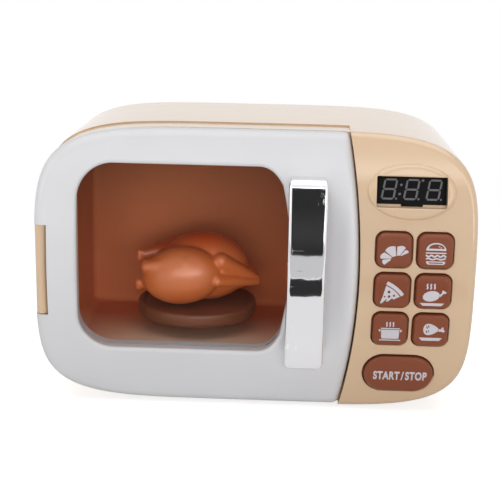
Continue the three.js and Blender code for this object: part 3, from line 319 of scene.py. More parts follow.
def drawLoops(loops, ends="cap"):  # a circle extruded from loop to loop, then closed
    bpy.ops.mesh.primitive_circle_add(vertices=len(loops[0]), radius=1)
    obj = bpy.context.active_object
    obj.location = (0, 0, 0)
    for vertex, place in zip(obj.data.vertices, loops[0]):
        vertex.co = place
    editing(obj)
    mesh = bmesh.from_edit_mesh(obj.data)
    current = sorted(mesh.verts, key=lambda vertex: vertex.index)
    for loop in loops[1:]:
        order = {tuple(vertex.co): i for i, vertex in enumerate(current)}
        bpy.ops.mesh.extrude_edges_move()
        mesh = bmesh.from_edit_mesh(obj.data)
        current = sorted((v for v in mesh.verts if v.select), key=lambda v: order[tuple(v.co)])
        for vertex, place in zip(current, loop):
            vertex.co = place
        bmesh.update_edit_mesh(obj.data)
    if ends == "cap":
        bpy.ops.mesh.edge_face_add()
    bpy.ops.mesh.select_all(action="DESELECT")
    bpy.ops.mesh.select_non_manifold()
    if ends == "cap":
        bpy.ops.mesh.edge_face_add()
    else:
        bpy.ops.mesh.bridge_edge_loops()
    modelled()
    return turnOut(obj)


def drawPrism(flat, front, back):  # a flat outline run straight from front to back
    return drawLoops([loopAt(flat, front), loopAt(flat, back)])


def turnUpright(x, y, profile, points):  # pairs of radius and height, turned about an upright axis
    turns = [2 * math.pi * k / points for k in range(points)]
    return drawLoops([[row(x + radius * math.cos(t), y + radius * math.sin(t), z) for t in turns]
                      for radius, z in profile])


# Camera, at the photograph's viewing angle

view = {"lens": 81.245, "sensor": 36, "near": 0.01, "pitch": 14.746, "yaw": -1.911, "roll": 1.193,
        "place": (18.61, -609.90, 176.51)}


def makeCamera():
    bpy.ops.object.camera_add()
    camera = bpy.context.active_object
    camera.data.lens, camera.data.sensor_width = view["lens"], view["sensor"]
    camera.data.clip_start = view["near"]
    turn = Matrix.Rotation(-math.radians(view["yaw"]), 4, "Z")
    tilt = Matrix.Rotation(math.radians(90 - view["pitch"]), 4, "X")
    roll = Matrix.Rotation(math.radians(view["roll"]), 4, "Z")
    camera.matrix_world = Matrix.Translation(row(*view["place"])) @ turn @ tilt @ roll
    bpy.context.scene.camera = camera


makeCamera()
print("camera set")


# Door shell: one run of loops from the window's rim over the bowed front and round the edge

knuckle = {"x": -120.7, "y": 6.8, "radius": 3.6, "bottom": -26.3, "top": 26.1, "pin": 1.5,
           "pinReach": 40, "round": 0.35, "notchLeft": -140}


def hingeNotch(grow):  # room in the door's edge for the knuckle
    return addBox(knuckle["notchLeft"], knuckle["x"] + knuckle["radius"] + grow, -over,
                  door["depth"] + over, knuckle["bottom"] - grow, knuckle["top"] + grow)


def makeDoorShell():
    outer, rim = loopMakers([doorLevel, windowLevel], windowMiddle)
    wall, steps, tubeEnd = door["wall"], door["faceSteps"], window["paneFront"] - gap
    loops = [loopAt(rim(-wall), tubeEnd), loopAt(drafted(rim(), window["draft"]), tubeEnd)]
    loops += [loopOn(doorSurface, rim(-inset), sink)
              for inset, sink in rounding(window["rimRound"], body["roundSteps"])]
    start, end = rim(-window["rimRound"]), outer(door["edgeRound"])
    loops += [loopOn(doorSurface, start + (end - start) * k / steps) for k in range(1, steps)]
    loops += [loopOn(doorSurface, outer(inset), sink)
              for inset, sink in reversed(rounding(door["edgeRound"], body["roundSteps"]))]
    loops += [loopAt(outer(inset), door["depth"] - sink)
              for inset, sink in rounding(door["backRound"], 3)]
    inside, root = outer(wall), rim(-wall)
    loops.append(loopAt(inside, door["depth"]))
    loops += [loopOn(doorSurface, inside + (root - inside) * k / steps, wall)
              for k in range(steps + 1)]
    return named(drawLoops(loops, ends="bridge"), "door_front")


doorFront = finishShade(combine(smooth(makeDoorShell()), hingeNotch(gap)))
print("door shell modelled")


# Front frame: one run of loops from the display's hole over the raised field and the bowed face

field = {
    "x": 87.2, "z": 50.29, "holeWidth": 39, "holeHeight": 17, "holeCorner": 0.8, "rimRound": 0.5,
    "holeDeep": 8, "width": 49, "height": 30.2, "lift": 1.9, "rimShare": 0.15,
    "near": 9, "nearShare": 0.6, "nearSteps": 26, "farSteps": 12, "farPower": 1.4,
}
keys = {
    "left": 78.7, "pitchX": 22.9, "top": 18.1, "pitchZ": 23.3, "width": 19.7, "height": 19.62,
    "corner": 4.6, "lift": 2.4, "edgeRound": 2.2, "flange": 1.2, "flangeFront": 2.75,
    "flangeBack": 3.95, "stem": 3, "stemEnd": 15.4, "room": 0.7, "shift": 0.2, "flare": 0.5,
    "pocket": 14, "startX": 85.3, "startZ": -57.31, "startWidth": 40.1, "startHeight": 23.38,
}
cavity = {
    "left": -108, "right": 37, "floor": -48.5, "top": 62, "back": 104, "corner": 6, "leastCorner": 0.8,
    "wall": 1.8, "flange": 2.8, "front": 23, "frontRound": 0.4, "backRound": 4,
}
latch = {"x": 47, "z": 2, "radius": 2, "round": 0.8, "spare": 0.7, "reach": 3.2}

keyPlaces = {}
for line, pair in enumerate([("croissant", "burger"), ("pizza", "chicken"), ("pot", "ham")]):
    for column, name in enumerate(pair):
        keyPlaces[name] = (keys["left"] + column * keys["pitchX"], keys["top"] - line * keys["pitchZ"],
                           keys["width"], keys["height"], keys["corner"])
keyPlaces["start_stop"] = (keys["startX"], keys["startZ"], keys["startWidth"], keys["startHeight"],
                           keys["startHeight"] / 2)


def keyLoop(name, grow, steps=10):
    x, z, width, height, corner = keyPlaces[name]
    return roundedLoop(x, z, width + 2 * grow, height + 2 * grow, corner + grow, steps)


def cavityLoop(grow=0, steps=10):
    width, height = cavity["right"] - cavity["left"], cavity["top"] - cavity["floor"]
    return roundedLoop((cavity["left"] + cavity["right"]) / 2, (cavity["floor"] + cavity["top"]) / 2,
                       width + 2 * grow, height + 2 * grow,
                       max(cavity["corner"] + grow, cavity["leastCorner"]), steps)


def panelSurface(x, z):
    across = (x - field["x"]) / (field["width"] / 2)
    up = (z - field["z"]) / (field["height"] / 2)
    rise = np.clip((1 - np.hypot(across, up)) / field["rimShare"], 0, 1)
    return bow(z) - np.sqrt(1 - (1 - rise) ** 2) * field["lift"]


def displayLevel(x, z, inset=0.0):
    return roundLevel(x, z, (field["x"], field["z"]), field["holeWidth"], field["holeHeight"],
                      field["holeCorner"]) + inset


def makeFrameBlock():
    outer, rim = loopMakers([bodyLevel, displayLevel], (field["x"], field["z"]))
    slope = math.tan(math.asin(field["z"] / body["bowRadius"]))
    flat, deep = rim(), field["holeDeep"]
    loops = [loopAt(flat - [0, deep * slope], panelSurface(*flat.T) + deep)]
    loops += [loopOn(panelSurface, rim(-inset), sink) for inset, sink in rounding(field["rimRound"], 4)]
    start, end = rim(-field["rimRound"]), outer(body["panelRound"])
    reach = np.minimum(field["near"] / np.hypot(*(end - start).T), field["nearShare"])[:, None]
    shares = [reach * k / field["nearSteps"] for k in range(1, field["nearSteps"] + 1)]
    shares += [reach + (1 - reach) * (k / field["farSteps"]) ** field["farPower"]
               for k in range(1, field["farSteps"])]
    loops += [loopOn(panelSurface, start + (end - start) * share) for share in shares]
    loops += [loopOn(bodySurface, outer(inset), sink)
              for inset, sink in reversed(rounding(body["panelRound"], body["roundSteps"]))]
    return drawLoops(loops + [loopAt(outer(), body["frameDepth"])])


def makeHollow():  # the room behind the bowed front
    wall, steps = body["wall"], body["faceSteps"]
    edge = bodyLoop(wall)
    loops = [loopOn(bodySurface, edge * k / steps, wall) for k in range(1, steps + 1)]
    return drawLoops(loops + [loopAt(edge, body["frameDepth"] + 3 * over)])


def makeBand(front, back):  # trims the frame's edge a step in from the body's outline
    inner, outside = bodyLoop(body["bandStep"]), bodyLoop(-over)
    return drawLoops([loopAt(outside, front), loopAt(outside, back), loopAt(inner, back),
                      loopAt(inner, front)], ends="bridge")


def doorSide(shift, front, back):  # everything on the door's side of the seam, one wide arc
    return addRod(seam["radius"] + shift, seam["x"] - seam["radius"], seam["peak"], front, back,
                  seam["points"])


def makeKeyPocket(name):  # a pocket whose mouth flares over a small round
    room, flare = keys["room"], keys["flare"]
    steps = [(room, keys["pocket"]), (room, flare)]
    steps += [(room + flare * (1 - math.cos(t)), flare * (1 - math.sin(t)))
              for t in map(math.radians, (20, 40, 60))]
    steps.append((room + flare * 1.2, -1))
    shift = [-keys["shift"], keys["shift"]]
    return drawLoops([loopOn(bodySurface, keyLoop(name, grow) + shift, sink) for grow, sink in steps])


def makeKnuckle():
    x, y, radius = knuckle["x"], knuckle["y"], knuckle["radius"]
    back = door["depth"] + door["seatGap"] + body["wall"] - 0.4
    barrel = addPost(radius, x, y, knuckle["bottom"], knuckle["top"])
    web = addBox(x - radius, x + radius, y, back, knuckle["bottom"], knuckle["top"])
    barrel = soften(combine(barrel, web, "UNION"), knuckle["round"])
    return combine(barrel, addPost(knuckle["pin"] + gap, x, y, -knuckle["pinReach"],
                                   knuckle["pinReach"]))


def makeFrontFrame():
    half, wall, deep = seam["gap"] / 2, body["wall"], body["frameDepth"]
    flangeFront = door["depth"] + door["seatGap"]
    flangeBack = flangeFront + wall
    ring = combine(doorSide(half + wall, -over, flangeBack), doorSide(half, -2 * over, flangeFront))
    room = combine(makeHollow(), ring)
    moulding = combine(makeFrameBlock(), doorSide(half - seam["closer"], -seam["reach"], flangeFront))
    band = makeBand(flangeFront - over, deep + over)
    band = combine(band, doorSide(half, 0, deep + seam["bandReach"]), "INTERSECT")
    cuts = [room, band, merged([makeKeyPocket(name) for name in keyPlaces], "pockets"),
            drawPrism(cavityLoop(steps=8), flangeFront - over, flangeBack + over),
            addRod(latch["radius"] + latch["spare"], latch["x"], latch["z"], flangeFront - over,
                   flangeBack + over)]
    for cut in cuts:
        moulding = combine(moulding, cut)
    return named(combine(moulding, makeKnuckle(), "UNION"), "front_moulding")


frameFront = finishShade(makeFrontFrame())
print("front frame modelled")


# Rear housing: the shell with its wells, battery pocket and speaker slots

cells = {
    "x": 90, "z": -13, "radius": 7.25, "length": 49.2, "spacing": 15.2, "nub": 1.3, "spare": 4.2,
    "wall": 1.8, "coverLap": 3, "coverThick": 2, "coverCorner": 3, "coverTab": 12, "coverRound": 0.4,
    "cupRadius": 4.3, "cupDepth": 2, "ribs": 5, "ribPitch": 2.4, "ribWide": 1, "ribDeep": 0.6,
}
cells["halfWidth"] = 3 * cells["spacing"] / 2 + gap
cells["halfHeight"] = (cells["length"] + cells["nub"] + cells["spare"]) / 2
cells["front"] = body["depth"] - cells["coverThick"] - 4 * gap - 2 * cells["radius"]
cells["screwZ"] = cells["z"] - cells["halfHeight"] - cells["wall"] - cells["coverTab"] / 4
speakerSet = {"x": 90, "z": 48, "radius": 14, "rim": 2, "slot": 2, "pitch": 4.4, "count": 5}
screwSet = {
    "shank": 1.3, "head": 2.6, "headThick": 1.8, "headRim": 0.3, "crossWide": 0.7, "crossLong": 3,
    "wellFloor": 14, "boss": 4.5, "points": 32,
    "housing": [(-1, 39.99), (-1, -39.99), (1, 33.03), (1, -57.99)],  # side, height
    "door": [(-105.3, 51.4), (-105.3, -36), (42.25, 61.4), (42.25, -48.2)],
}
bossJoint = body["frameDepth"] + 2 * body["wall"]


def bodyEdge(half, share):  # half the body's size at a share of the way along its other half
    return half * (1 - share ** body["power"]) ** (1 / body["power"])


bossPlaces = [
    (side * (bodyEdge(body["width"] / 2, abs(2 * z / body["height"])) - body["backRound"] / 2
             - screwSet["boss"]), z) for side, z in screwSet["housing"]
]


def coverLoop(grow, steps=6):
    width = 2 * (cells["halfWidth"] + cells["coverLap"] + grow)
    height = 2 * (cells["halfHeight"] + cells["coverLap"] + grow) + cells["coverTab"]
    return roundedLoop(cells["x"], cells["z"], width, height, cells["coverCorner"] + grow, steps)


def makeRearShell():
    wall, back, front = body["wall"], body["depth"], body["frameDepth"] + 0.05
    plain, shares = bodyLoop(body["backRound"] + 2), (0.2, 0.4, 0.6, 0.8, 1)
    loops = [loopAt(plain * share, back - wall) for share in shares]
    loops += [loopAt(bodyLoop(wall + inset), back - wall - sink)
              for inset, sink in reversed(rounding(body["backRound"] - wall, 6))]
    loops += [loopAt(bodyLoop(wall), front), loopAt(bodyLoop(), front)]
    loops += [loopAt(bodyLoop(inset), back - sink) for inset, sink in rounding(body["backRound"], 10)]
    return drawLoops(loops + [loopAt(plain * share, back) for share in reversed(shares)])


def makeRearHousing():
    shell, wall, back = makeRearShell(), body["wall"], body["depth"]
    for i in range(speakerSet["count"]):
        rise = (i - (speakerSet["count"] - 1) / 2) * speakerSet["pitch"]
        reach = 2 * math.sqrt((speakerSet["radius"] - speakerSet["rim"]) ** 2 - rise ** 2)
        slot = roundedLoop(speakerSet["x"], speakerSet["z"] + rise, reach, speakerSet["slot"],
                           speakerSet["slot"] / 2)
        shell = combine(shell, drawPrism(slot, back - wall - over, back + over))
    left, right = cells["x"] - cells["halfWidth"], cells["x"] + cells["halfWidth"]
    low, high = cells["z"] - cells["halfHeight"], cells["z"] + cells["halfHeight"]
    side, pocketFront = cells["wall"], back - cells["coverThick"] - gap
    adds = [addBox(left - side, right + side, cells["front"] - side, back - 1, low - side, high + side),
            drawPrism(coverLoop(wall), pocketFront - wall, back - 1)]
    adds += [addRod(screwSet["boss"], x, z, bossJoint, back - 1) for x, z in bossPlaces]
    for add in adds:
        shell = combine(shell, add, "UNION")
    cuts = [addRod(screwSet["head"] + gap, x, z, bossJoint + screwSet["wellFloor"], back + over)
            for x, z in bossPlaces]
    cuts += [drawPrism(coverLoop(gap), pocketFront, back + over),
             addBox(left, right, cells["front"], back + over, low, high),
             addRod(cells["cupRadius"] + gap, cells["x"], cells["screwZ"],
                    pocketFront - cells["cupDepth"], back + over)]
    for cut in cuts:
        shell = combine(shell, cut)
    return named(shell, "rear_moulding")


rearShell = finishShade(makeRearHousing())
print("rear housing modelled")


def makeCover():
    x, back, thick = cells["x"], body["depth"], cells["coverThick"]
    cover = soften(drawPrism(coverLoop(0), back - thick, back), cells["coverRound"])
    cup = addRod(cells["cupRadius"], x, cells["screwZ"], back - thick - cells["cupDepth"], back - 0.01)
    cover = combine(cover, cup, "UNION")
    cover = combine(cover, addRod(screwSet["head"] + gap, x, cells["screwZ"], back - thick - gap,
                                  back + over))
    ribs = []
    for i in range(cells["ribs"]):
        rib = roundedLoop(x, cells["z"] + cells["halfHeight"] - cells["ribPitch"] * i,
                          cells["coverTab"], cells["ribWide"], cells["ribWide"] / 2, 4)
        ribs.append(drawPrism(rib, back - cells["ribDeep"], back + 1))
    return named(combine(cover, merged(ribs, "ribs")), "battery_lid")


lid = finishShade(makeCover())


# Screw: a pan head with a cross recess, on a plain shank with a blunt tip


def makeScrew(name, place, headFront, length, turn=0.0):
    (x, z), shank, head = place, screwSet["shank"], screwSet["head"]
    rim = screwSet["headRim"]
    crown, top = screwSet["headThick"] - rim, headFront + screwSet["headThick"]
    profile = [(0.3, 0), (shank * 0.7, 0.4), (shank, 1.4), (shank, length), (head * 0.94, length),
               (head, length + rim)]
    profile += [(head * math.cos(t), length + rim + crown * math.sin(t)) for t in (0.35, 0.7, 1.05, 1.35)]
    turns = np.linspace(0, 2 * math.pi, screwSet["points"], endpoint=False)
    ring = np.stack([np.cos(turns), np.sin(turns)], 1)
    screw = drawLoops([loopAt(ring * radius + place, headFront - length + along)
                       for radius, along in profile])
    long, wide = screwSet["crossLong"] / 2, screwSet["crossWide"] / 2
    for angle in (turn, turn + math.pi / 2):
        slot = addBox(x - long, x + long, top - 1, top + 1, z - wide, z + wide)
        bpy.ops.transform.rotate(value=angle, orient_axis="Y", center_override=row(x, top, z))
        screw = combine(screw, settle(slot))
    return finishShade(named(screw, name))


screws = []
for i, place in enumerate(bossPlaces):
    screws.append((makeScrew(f"housing_fixing_{i + 1}", place,
                             bossJoint + screwSet["wellFloor"] + gap, 23, 0.3 + 0.7 * i),
                   f"housing_screw_{i + 1}", "oven_body"))
for i, place in enumerate(screwSet["door"]):
    screws.append((makeScrew(f"door_fixing_{i + 1}", place, door["depth"] - screwSet["headThick"], 7,
                             0.9 * i), f"door_screw_{i + 1}", "door"))
screws.append((makeScrew("cover_fixing", (cells["x"], cells["screwZ"]),
                         body["depth"] - cells["coverThick"], 9, 0.5), "cover_screw", "oven_body"))
print("screws modelled")


# Door inner frame: the back of the door, which clamps the pane and carries the latch nub


def makeInnerFrame():
    outer, rim = loopMakers([doorLevel, windowLevel], windowMiddle)
    paneBack = window["paneFront"] + window["paneThick"] + gap
    back, draft = door["depth"], window["backDraft"]
    front, edge = back - door["innerThick"], outer(door["wall"] + gap)
    hole, sleeve, ledge = [drafted(rim(-grow), draft)
                           for grow in (window["backRim"], door["wall"], window["backLedge"])]
    inner = drawLoops([
        loopAt(hole, paneBack), loopAt(hole, back - 0.5), loopAt(ledge, back), loopAt(edge, back),
        loopAt(edge, front), loopAt(sleeve, front), loopAt(sleeve, paneBack)], ends="bridge")
    inner = combine(inner, hingeNotch(door["wall"] + gap))
    nub = addRod(latch["radius"], latch["x"], latch["z"], front + 1, back + latch["reach"])
    inner = combine(inner, soften(nub, latch["round"]), "UNION")
    for x, z in screwSet["door"]:
        inner = combine(inner, addRod(screwSet["head"] + gap, x, z,
                                      back - screwSet["headThick"] - gap, back + over))
    return named(inner, "door_back")


innerFrame = finishShade(makeInnerFrame())
print("door back modelled")


# Cooking space, then the turntable in it

turntable = {
    "x": -36, "y": 62, "radius": 36.6, "top": -32, "thick": 6, "edgeRound": 1.6, "rim": 3.4,
    "dish": 1, "skirt": 2.2, "skirtWide": 9, "bend": 2.4, "stem": 5, "hub": 11, "peg": 3,
    "pegEnd": -61.2, "pegShoulder": -52.7, "hole": 5.3, "points": 128,
}


def makeLiner():
    back, front, wall = cavity["back"], cavity["front"], cavity["wall"]
    flange, soft = cavityLoop(cavity["flange"]), cavity["backRound"]
    loops = [loopAt(cavityLoop(-soft - 1), back)]
    loops += [loopAt(cavityLoop(-inset), back - sink) for inset, sink in reversed(rounding(soft, 6))]
    loops += [loopAt(cavityLoop(), front + cavity["frontRound"]),
              loopAt(cavityLoop(cavity["frontRound"]), front), loopAt(flange, front),
              loopAt(flange, front + wall), loopAt(cavityLoop(wall), front + wall)]
    loops += [loopAt(cavityLoop(wall - inset), back + wall - sink) for inset, sink in rounding(soft, 4)]
    hole = addPost(turntable["hole"], turntable["x"], turntable["y"], cavity["floor"] - 9,
                   cavity["floor"] + over)
    return named(combine(drawLoops(loops), hole), "cooking_space")


def makePlate():
    radius, top, soft = turntable["radius"], turntable["top"], turntable["edgeRound"]
    bottom, hole, bend = top - turntable["thick"], turntable["peg"] + gap, turntable["bend"]
    skirt, inner = bottom - turntable["skirt"], radius - turntable["skirtWide"]
    profile = [(hole, bottom + 2.7), (hole, bottom + 0.3), (hole + 0.3, bottom), (inner, bottom),
               (inner + 0.6, skirt + 0.3), (inner + 1, skirt), (radius - bend, skirt)]
    profile += [(radius - bend + bend * math.sin(t), skirt + bend * (1 - math.cos(t)))
                for t in (0.3, 0.6, 0.9, 1.2, math.pi / 2)]
    profile += quarter(soft, 6, radius - soft, top - soft, 0)
    lip, dish = radius - turntable["rim"], top - turntable["dish"]
    profile += [(lip + 0.4, top), (lip, top - 0.15), (lip - 0.5, top - 0.7), (lip - 1, top - 0.95),
                (lip - 1.5, dish), (lip - 4, dish), (1, dish)]
    return named(turnUpright(turntable["x"], turntable["y"], profile, turntable["points"]),
                 "glass_tray")


def makeHub():
    floor, top = cavity["floor"], turntable["top"] - turntable["thick"] - gap
    peg, stem, wide = turntable["peg"], turntable["stem"], turntable["hub"]
    profile = [(peg, turntable["pegEnd"]), (peg, turntable["pegShoulder"]),
               (stem, turntable["pegShoulder"]), (stem, floor + 0.6), (wide - 0.6, floor + 0.6),
               (wide, floor + 1.2), (wide, floor + 2.6), (wide - 2.5, floor + 4), (wide - 3, top - 1.5),
               (wide - 1, top - 0.4), (wide - 1, top), (peg, top), (peg, top + 2), (peg - 0.4, top + 2.4)]
    return named(turnUpright(turntable["x"], turntable["y"], profile, turntable["points"] // 2),
                 "drive_boss")


liner = finishShade(makeLiner())
print("cooking space modelled")
plate, hub = smooth(makePlate(), 30), smooth(makeHub(), 30)
print("turntable modelled")


# Handle: a rounded band swept from the upper leg over the bow to the lower leg

grip = {
    "width": 21.6, "middle": 1.7, "halfHeight": 55.4, "bow": 208, "bowCentre": 197, "thick": 4.5,
    "corner": 5.5, "innerCorner": 3, "leg": 9.5, "legEnd": 9.5, "legBend": 4, "edgeRound": 2.4,
    "innerRound": 0.9, "edgeSteps": 5, "cornerSteps": 9, "bowSteps": 20,
}


def gripStations():  # pairs of outer and inner places (y, z), from the upper leg to the middle
    top, inner = grip["halfHeight"], grip["halfHeight"] - grip["leg"]
    big, small = grip["corner"], grip["innerCorner"]
    high, low, thin = top - big, inner - small, grip["bow"] - grip["thick"]
    outerY = grip["bowCentre"] - math.sqrt(grip["bow"] ** 2 - high ** 2) + big
    innerY = grip["bowCentre"] - math.sqrt(thin ** 2 - low ** 2) + small
    stations = [((y, top), (y, inner)) for y in (grip["legEnd"], grip["legBend"])]
    slant = math.asin(high / grip["bow"])
    for k in range(grip["cornerSteps"] + 1):
        turn = (math.pi / 2 - slant) * k / grip["cornerSteps"]
        stations.append(tuple((y - bend * math.sin(turn), z + bend * math.cos(turn))
                              for y, z, bend in ((outerY, high, big), (innerY, low, small))))
    (_, lastOuter), (_, lastInner) = stations[-1]
    outerTurn, innerTurn = math.asin(lastOuter / grip["bow"]), math.asin(lastInner / thin)
    for k in range(1, grip["bowSteps"] + 1):
        share = 1 - k / grip["bowSteps"]
        stations.append(tuple(
            (grip["bowCentre"] - radius * math.cos(turn * share), radius * math.sin(turn * share))
            for radius, turn in ((grip["bow"], outerTurn), (thin, innerTurn))))
    return stations


def gripLoop(outer, inner):  # the band's rounded section at a station
    outer, inner = np.array(outer), np.array(inner)
    thick = np.linalg.norm(outer - inner)
    up = (outer - inner) / thick
    half, big, small = grip["width"] / 2, grip["edgeRound"], grip["innerRound"]
    points = []
    for i, (across, height, radius) in enumerate((
            (half - big, thick - big, big), (big - half, thick - big, big),
            (small - half, small, small), (half - small, small, small))):
        points += quarter(radius, grip["edgeSteps"], across, height, i * math.pi / 2)
    places = [(across, *(inner + up * height)) for across, height in points]
    return [row(scoop["x"] + across, y, grip["middle"] + z) for across, y, z in places]


def makeGrip():
    upper = gripStations()
    lower = [((oy, -oz), (iy, -iz)) for (oy, oz), (iy, iz) in reversed(upper[:-1])]
    return named(drawLoops([gripLoop(*station) for station in upper + lower]), "pull_bar")


pullBar = smooth(makeGrip(), 45)
print("handle modelled")


# Display: a black block with its tab and three unlit digits, square to the bowed panel

display = {
    "width": 37.6, "height": 15.4, "thick": 7, "recess": 2.7, "rise": 1.1, "round": 0.25,
    "tabLeft": -5.4, "tabRight": 6.2, "tabDrop": 1.2, "sillThick": 4,
    "digit": 6.6, "digitHeight": 10.7, "slant": 1.9, "stroke": 1.1, "strokeGap": 0.16,
    "first": -16.6, "pitch": 12.4, "base": -3.9, "film": 0.06, "point": 0.6, "lamp": 0.75,
    "lamps": ((-5.8, 3.9), (-6.6, -1.2), (6.1, 6.6)),
}


def flatShape(outlines, name, front, thick):  # filled outlines of across and up, made a thin mesh
    curve = bpy.data.curves.new(name, "CURVE")
    curve.dimensions, curve.fill_mode, curve.extrude = "2D", "BOTH", thick / 2 * mm
    for outline in outlines:
        spline = curve.splines.new("POLY")
        spline.points.add(len(outline) - 1)
        for point, (across, up) in zip(spline.points, outline):
            point.co = (across * mm, up * mm, 0, 1)
        spline.use_cyclic_u = True
    obj = bpy.data.objects.new(name, curve)
    bpy.context.scene.collection.objects.link(obj)
    pick(obj)
    bpy.ops.object.convert(target="MESH")
    obj = bpy.context.active_object
    places = [(v.co.x / mm, front - v.co.z / mm, v.co.y / mm) for v in obj.data.vertices]
    return obj, places


def squareShape(outlines, name, front, thick):  # a flat shape turned square to the bowed panel
    obj, places = flatShape(outlines, name, front, thick)
    tilt = math.asin(field["z"] / body["bowRadius"])
    for vertex, (across, out, up) in zip(obj.data.vertices, places):
        vertex.co = row(
            field["x"] + across,
            float(bow(field["z"])) + out * math.cos(tilt) + up * math.sin(tilt),
            field["z"] - out * math.sin(tilt) + up * math.cos(tilt))
    return turnOut(obj)


def stroke(fromX, fromUp, toX, toUp, width):  # a line with pointed ends
    start, end = np.array([fromX, fromUp], float), np.array([toX, toUp], float)
    along = (end - start) / np.hypot(*(end - start))
    side, tip = np.array([-along[1], along[0]]) * width / 2, along * width / 2
    return [tuple(point) for point in (start, start + tip + side, end - tip + side, end,
                                       end - tip - side, start + tip - side)]


def disc(x, up, radius, height=None, count=28):
    return [(x + radius * math.cos(2 * math.pi * k / count),
             up + (height or radius) * math.sin(2 * math.pi * k / count)) for k in range(count)]


def digitShapes():
    shapes, height, lean = [], display["digitHeight"], display["slant"] / display["digitHeight"]
    low, middle, high = (display["base"] + height * share for share in (0, 0.5, 1))
    spare = display["strokeGap"]
    for k in range(3):
        left = display["first"] + k * display["pitch"]
        right = left + display["digit"]
        lines = [(left, up, right, up) for up in (high, middle, low)]
        lines += [(x, start, x, end) for start, end in ((middle, high), (low, middle))
                  for x in (left, right)]
        for fromX, fromUp, toX, toUp in lines:
            level, upright = (spare, 0) if fromUp == toUp else (0, spare)
            shapes.append(stroke(fromX + level, fromUp + upright, toX - level, toUp - upright,
                                 display["stroke"]))
        shapes.append(disc(right + 1.5, low + 0.1, display["point"], count=16))
    shapes += [disc(across - lean * (up - low), up, display["lamp"], count=16)
               for across, up in display["lamps"]]
    return [[(x + (u - low) * lean, u) for x, u in shape] for shape in shapes]


def makeLedge():  # the recess's sill under the display, with room for its tab
    side = field["holeWidth"] / 2 + 1
    low, high = -field["holeHeight"] / 2 - 1, display["rise"] - display["height"] / 2 - 0.25
    tabLeft, tabRight = display["tabLeft"] - gap, display["tabRight"] + gap
    tab, thick = high - display["tabDrop"], display["sillThick"]
    outline = [(-side, low), (side, low), (side, high), (tabRight, high), (tabRight, tab),
               (tabLeft, tab), (tabLeft, high), (-side, high)]
    return squareShape([outline], "sill", display["recess"] + 0.5 + thick / 2, thick)


def makeDisplay():
    half, front, thick = display["width"] / 2, display["recess"], display["thick"]
    low, high = display["rise"] - display["height"] / 2, display["rise"] + display["height"] / 2
    tabLeft, tabRight, tab = display["tabLeft"], display["tabRight"], low - display["tabDrop"]
    outline = [(-half, low), (tabLeft, low), (tabLeft, tab), (tabRight, tab), (tabRight, low),
               (half, low), (half, high), (-half, high)]
    block = squareShape([outline], "digit_module", front + thick / 2, thick)
    segments = squareShape(digitShapes(), "digit_segments", front - 0.02, display["film"])
    return finishShade(soften(block, display["round"])), segments


digitBlock, digits = makeDisplay()
frameFront = finishShade(combine(frameFront, makeLedge(), "UNION"))
print("display modelled")


# Buttons: crowned keys with a flange and stem, printed pictograms and words

printSet = {"thick": 0.1, "lift": 0.02, "step": 1.2, "drop": 1}
words = {"text": "START / STOP", "size": 8, "bolder": 0.36, "letterSpace": 1.12, "wordSpace": 0.35,
         "width": 30.8, "height": 5.7, "right": 0.8, "drop": 0.8}


def makeKey(name):
    x, z = keyPlaces[name][:2]
    lift, soft, flange = keys["lift"], keys["edgeRound"], keyLoop(name, keys["flange"], 8)
    loops = [loopOn(bodySurface, flange, keys["flangeBack"]),
             loopOn(bodySurface, flange, keys["flangeFront"]),
             loopOn(bodySurface, keyLoop(name, 0, 8), keys["flangeFront"])]
    loops += [loopOn(bodySurface, keyLoop(name, -inset, 8), sink - lift)
              for inset, sink in rounding(soft, 6)]
    edge = keyLoop(name, -soft, 8)
    loops += [loopOn(bodySurface, [x, z] + (edge - [x, z]) * share, -lift) for share in (0.8, 0.55, 0.3)]
    key = turnOut(drawLoops(loops), 0.000005)
    stem = addRod(keys["stem"], x, z, float(bow(z)) + 3, keys["stemEnd"], 32)
    return finishShade(named(combine(key, stem, "UNION"), name + "_key_top"), 40)


def layOnKey(obj, places, name):  # bends a flat print round a key's bowed top
    x, z = keyPlaces[name][:2]
    for vertex, (across, out, up) in zip(obj.data.vertices, places):
        vertex.co = row(x + across, out, z + up)
    heights, step = [v.co.z for v in obj.data.vertices], printSet["step"] * mm
    height, top = min(heights) + step, max(heights)
    editing(obj)
    while height < top:
        bpy.ops.mesh.select_all(action="SELECT")
        bpy.ops.mesh.bisect(plane_co=(0, 0, height), plane_no=(0, 0, 1))
        height += step
    modelled()
    for vertex in obj.data.vertices:
        fall = float(bow(vertex.co.z / mm - middleZ))
        vertex.co.y += (fall - keys["lift"] - printSet["lift"]) * mm
    return turnOut(obj)


def turned(outline, degrees, x=0.0, up=0.0):
    c, s = math.cos(math.radians(degrees)), math.sin(math.radians(degrees))
    return [(x + a * c - b * s, up + a * s + b * c) for a, b in outline]


def placed(shapes, scaleX=1.0, scaleUp=1.0, x=0.0, up=0.0):
    return [[(scaleX * a + x, scaleUp * b + up) for a, b in shape] for shape in shapes]


def mirrored(half):  # an outline from its right half, given from the bottom to the top
    return [*half, *((-a, b) for a, b in reversed(half))]


def strip(points, width):  # a band of even width along an open line
    points = np.array(points, float)
    step = np.gradient(points, axis=0)
    side = np.stack([-step[:, 1], step[:, 0]], 1) / np.hypot(*step.T)[:, None] * width / 2
    return [tuple(p) for p in points + side] + [tuple(p) for p in (points - side)[::-1]]


def steam(x, up, height=2.9):  # three rising waves
    t = np.linspace(0, 1, 9)
    return [strip(np.stack([x + 1.85 * k + 0.25 * np.sin(2 * math.pi * t) + 0.5 * t,
                            up + height * t], 1), 0.8) for k in (-1, 0, 1)]


def plateShape(width=12.6, up=-5.0):
    return mirrored([(width / 2 - 1.6, up - 1.5), (width / 2, up)])


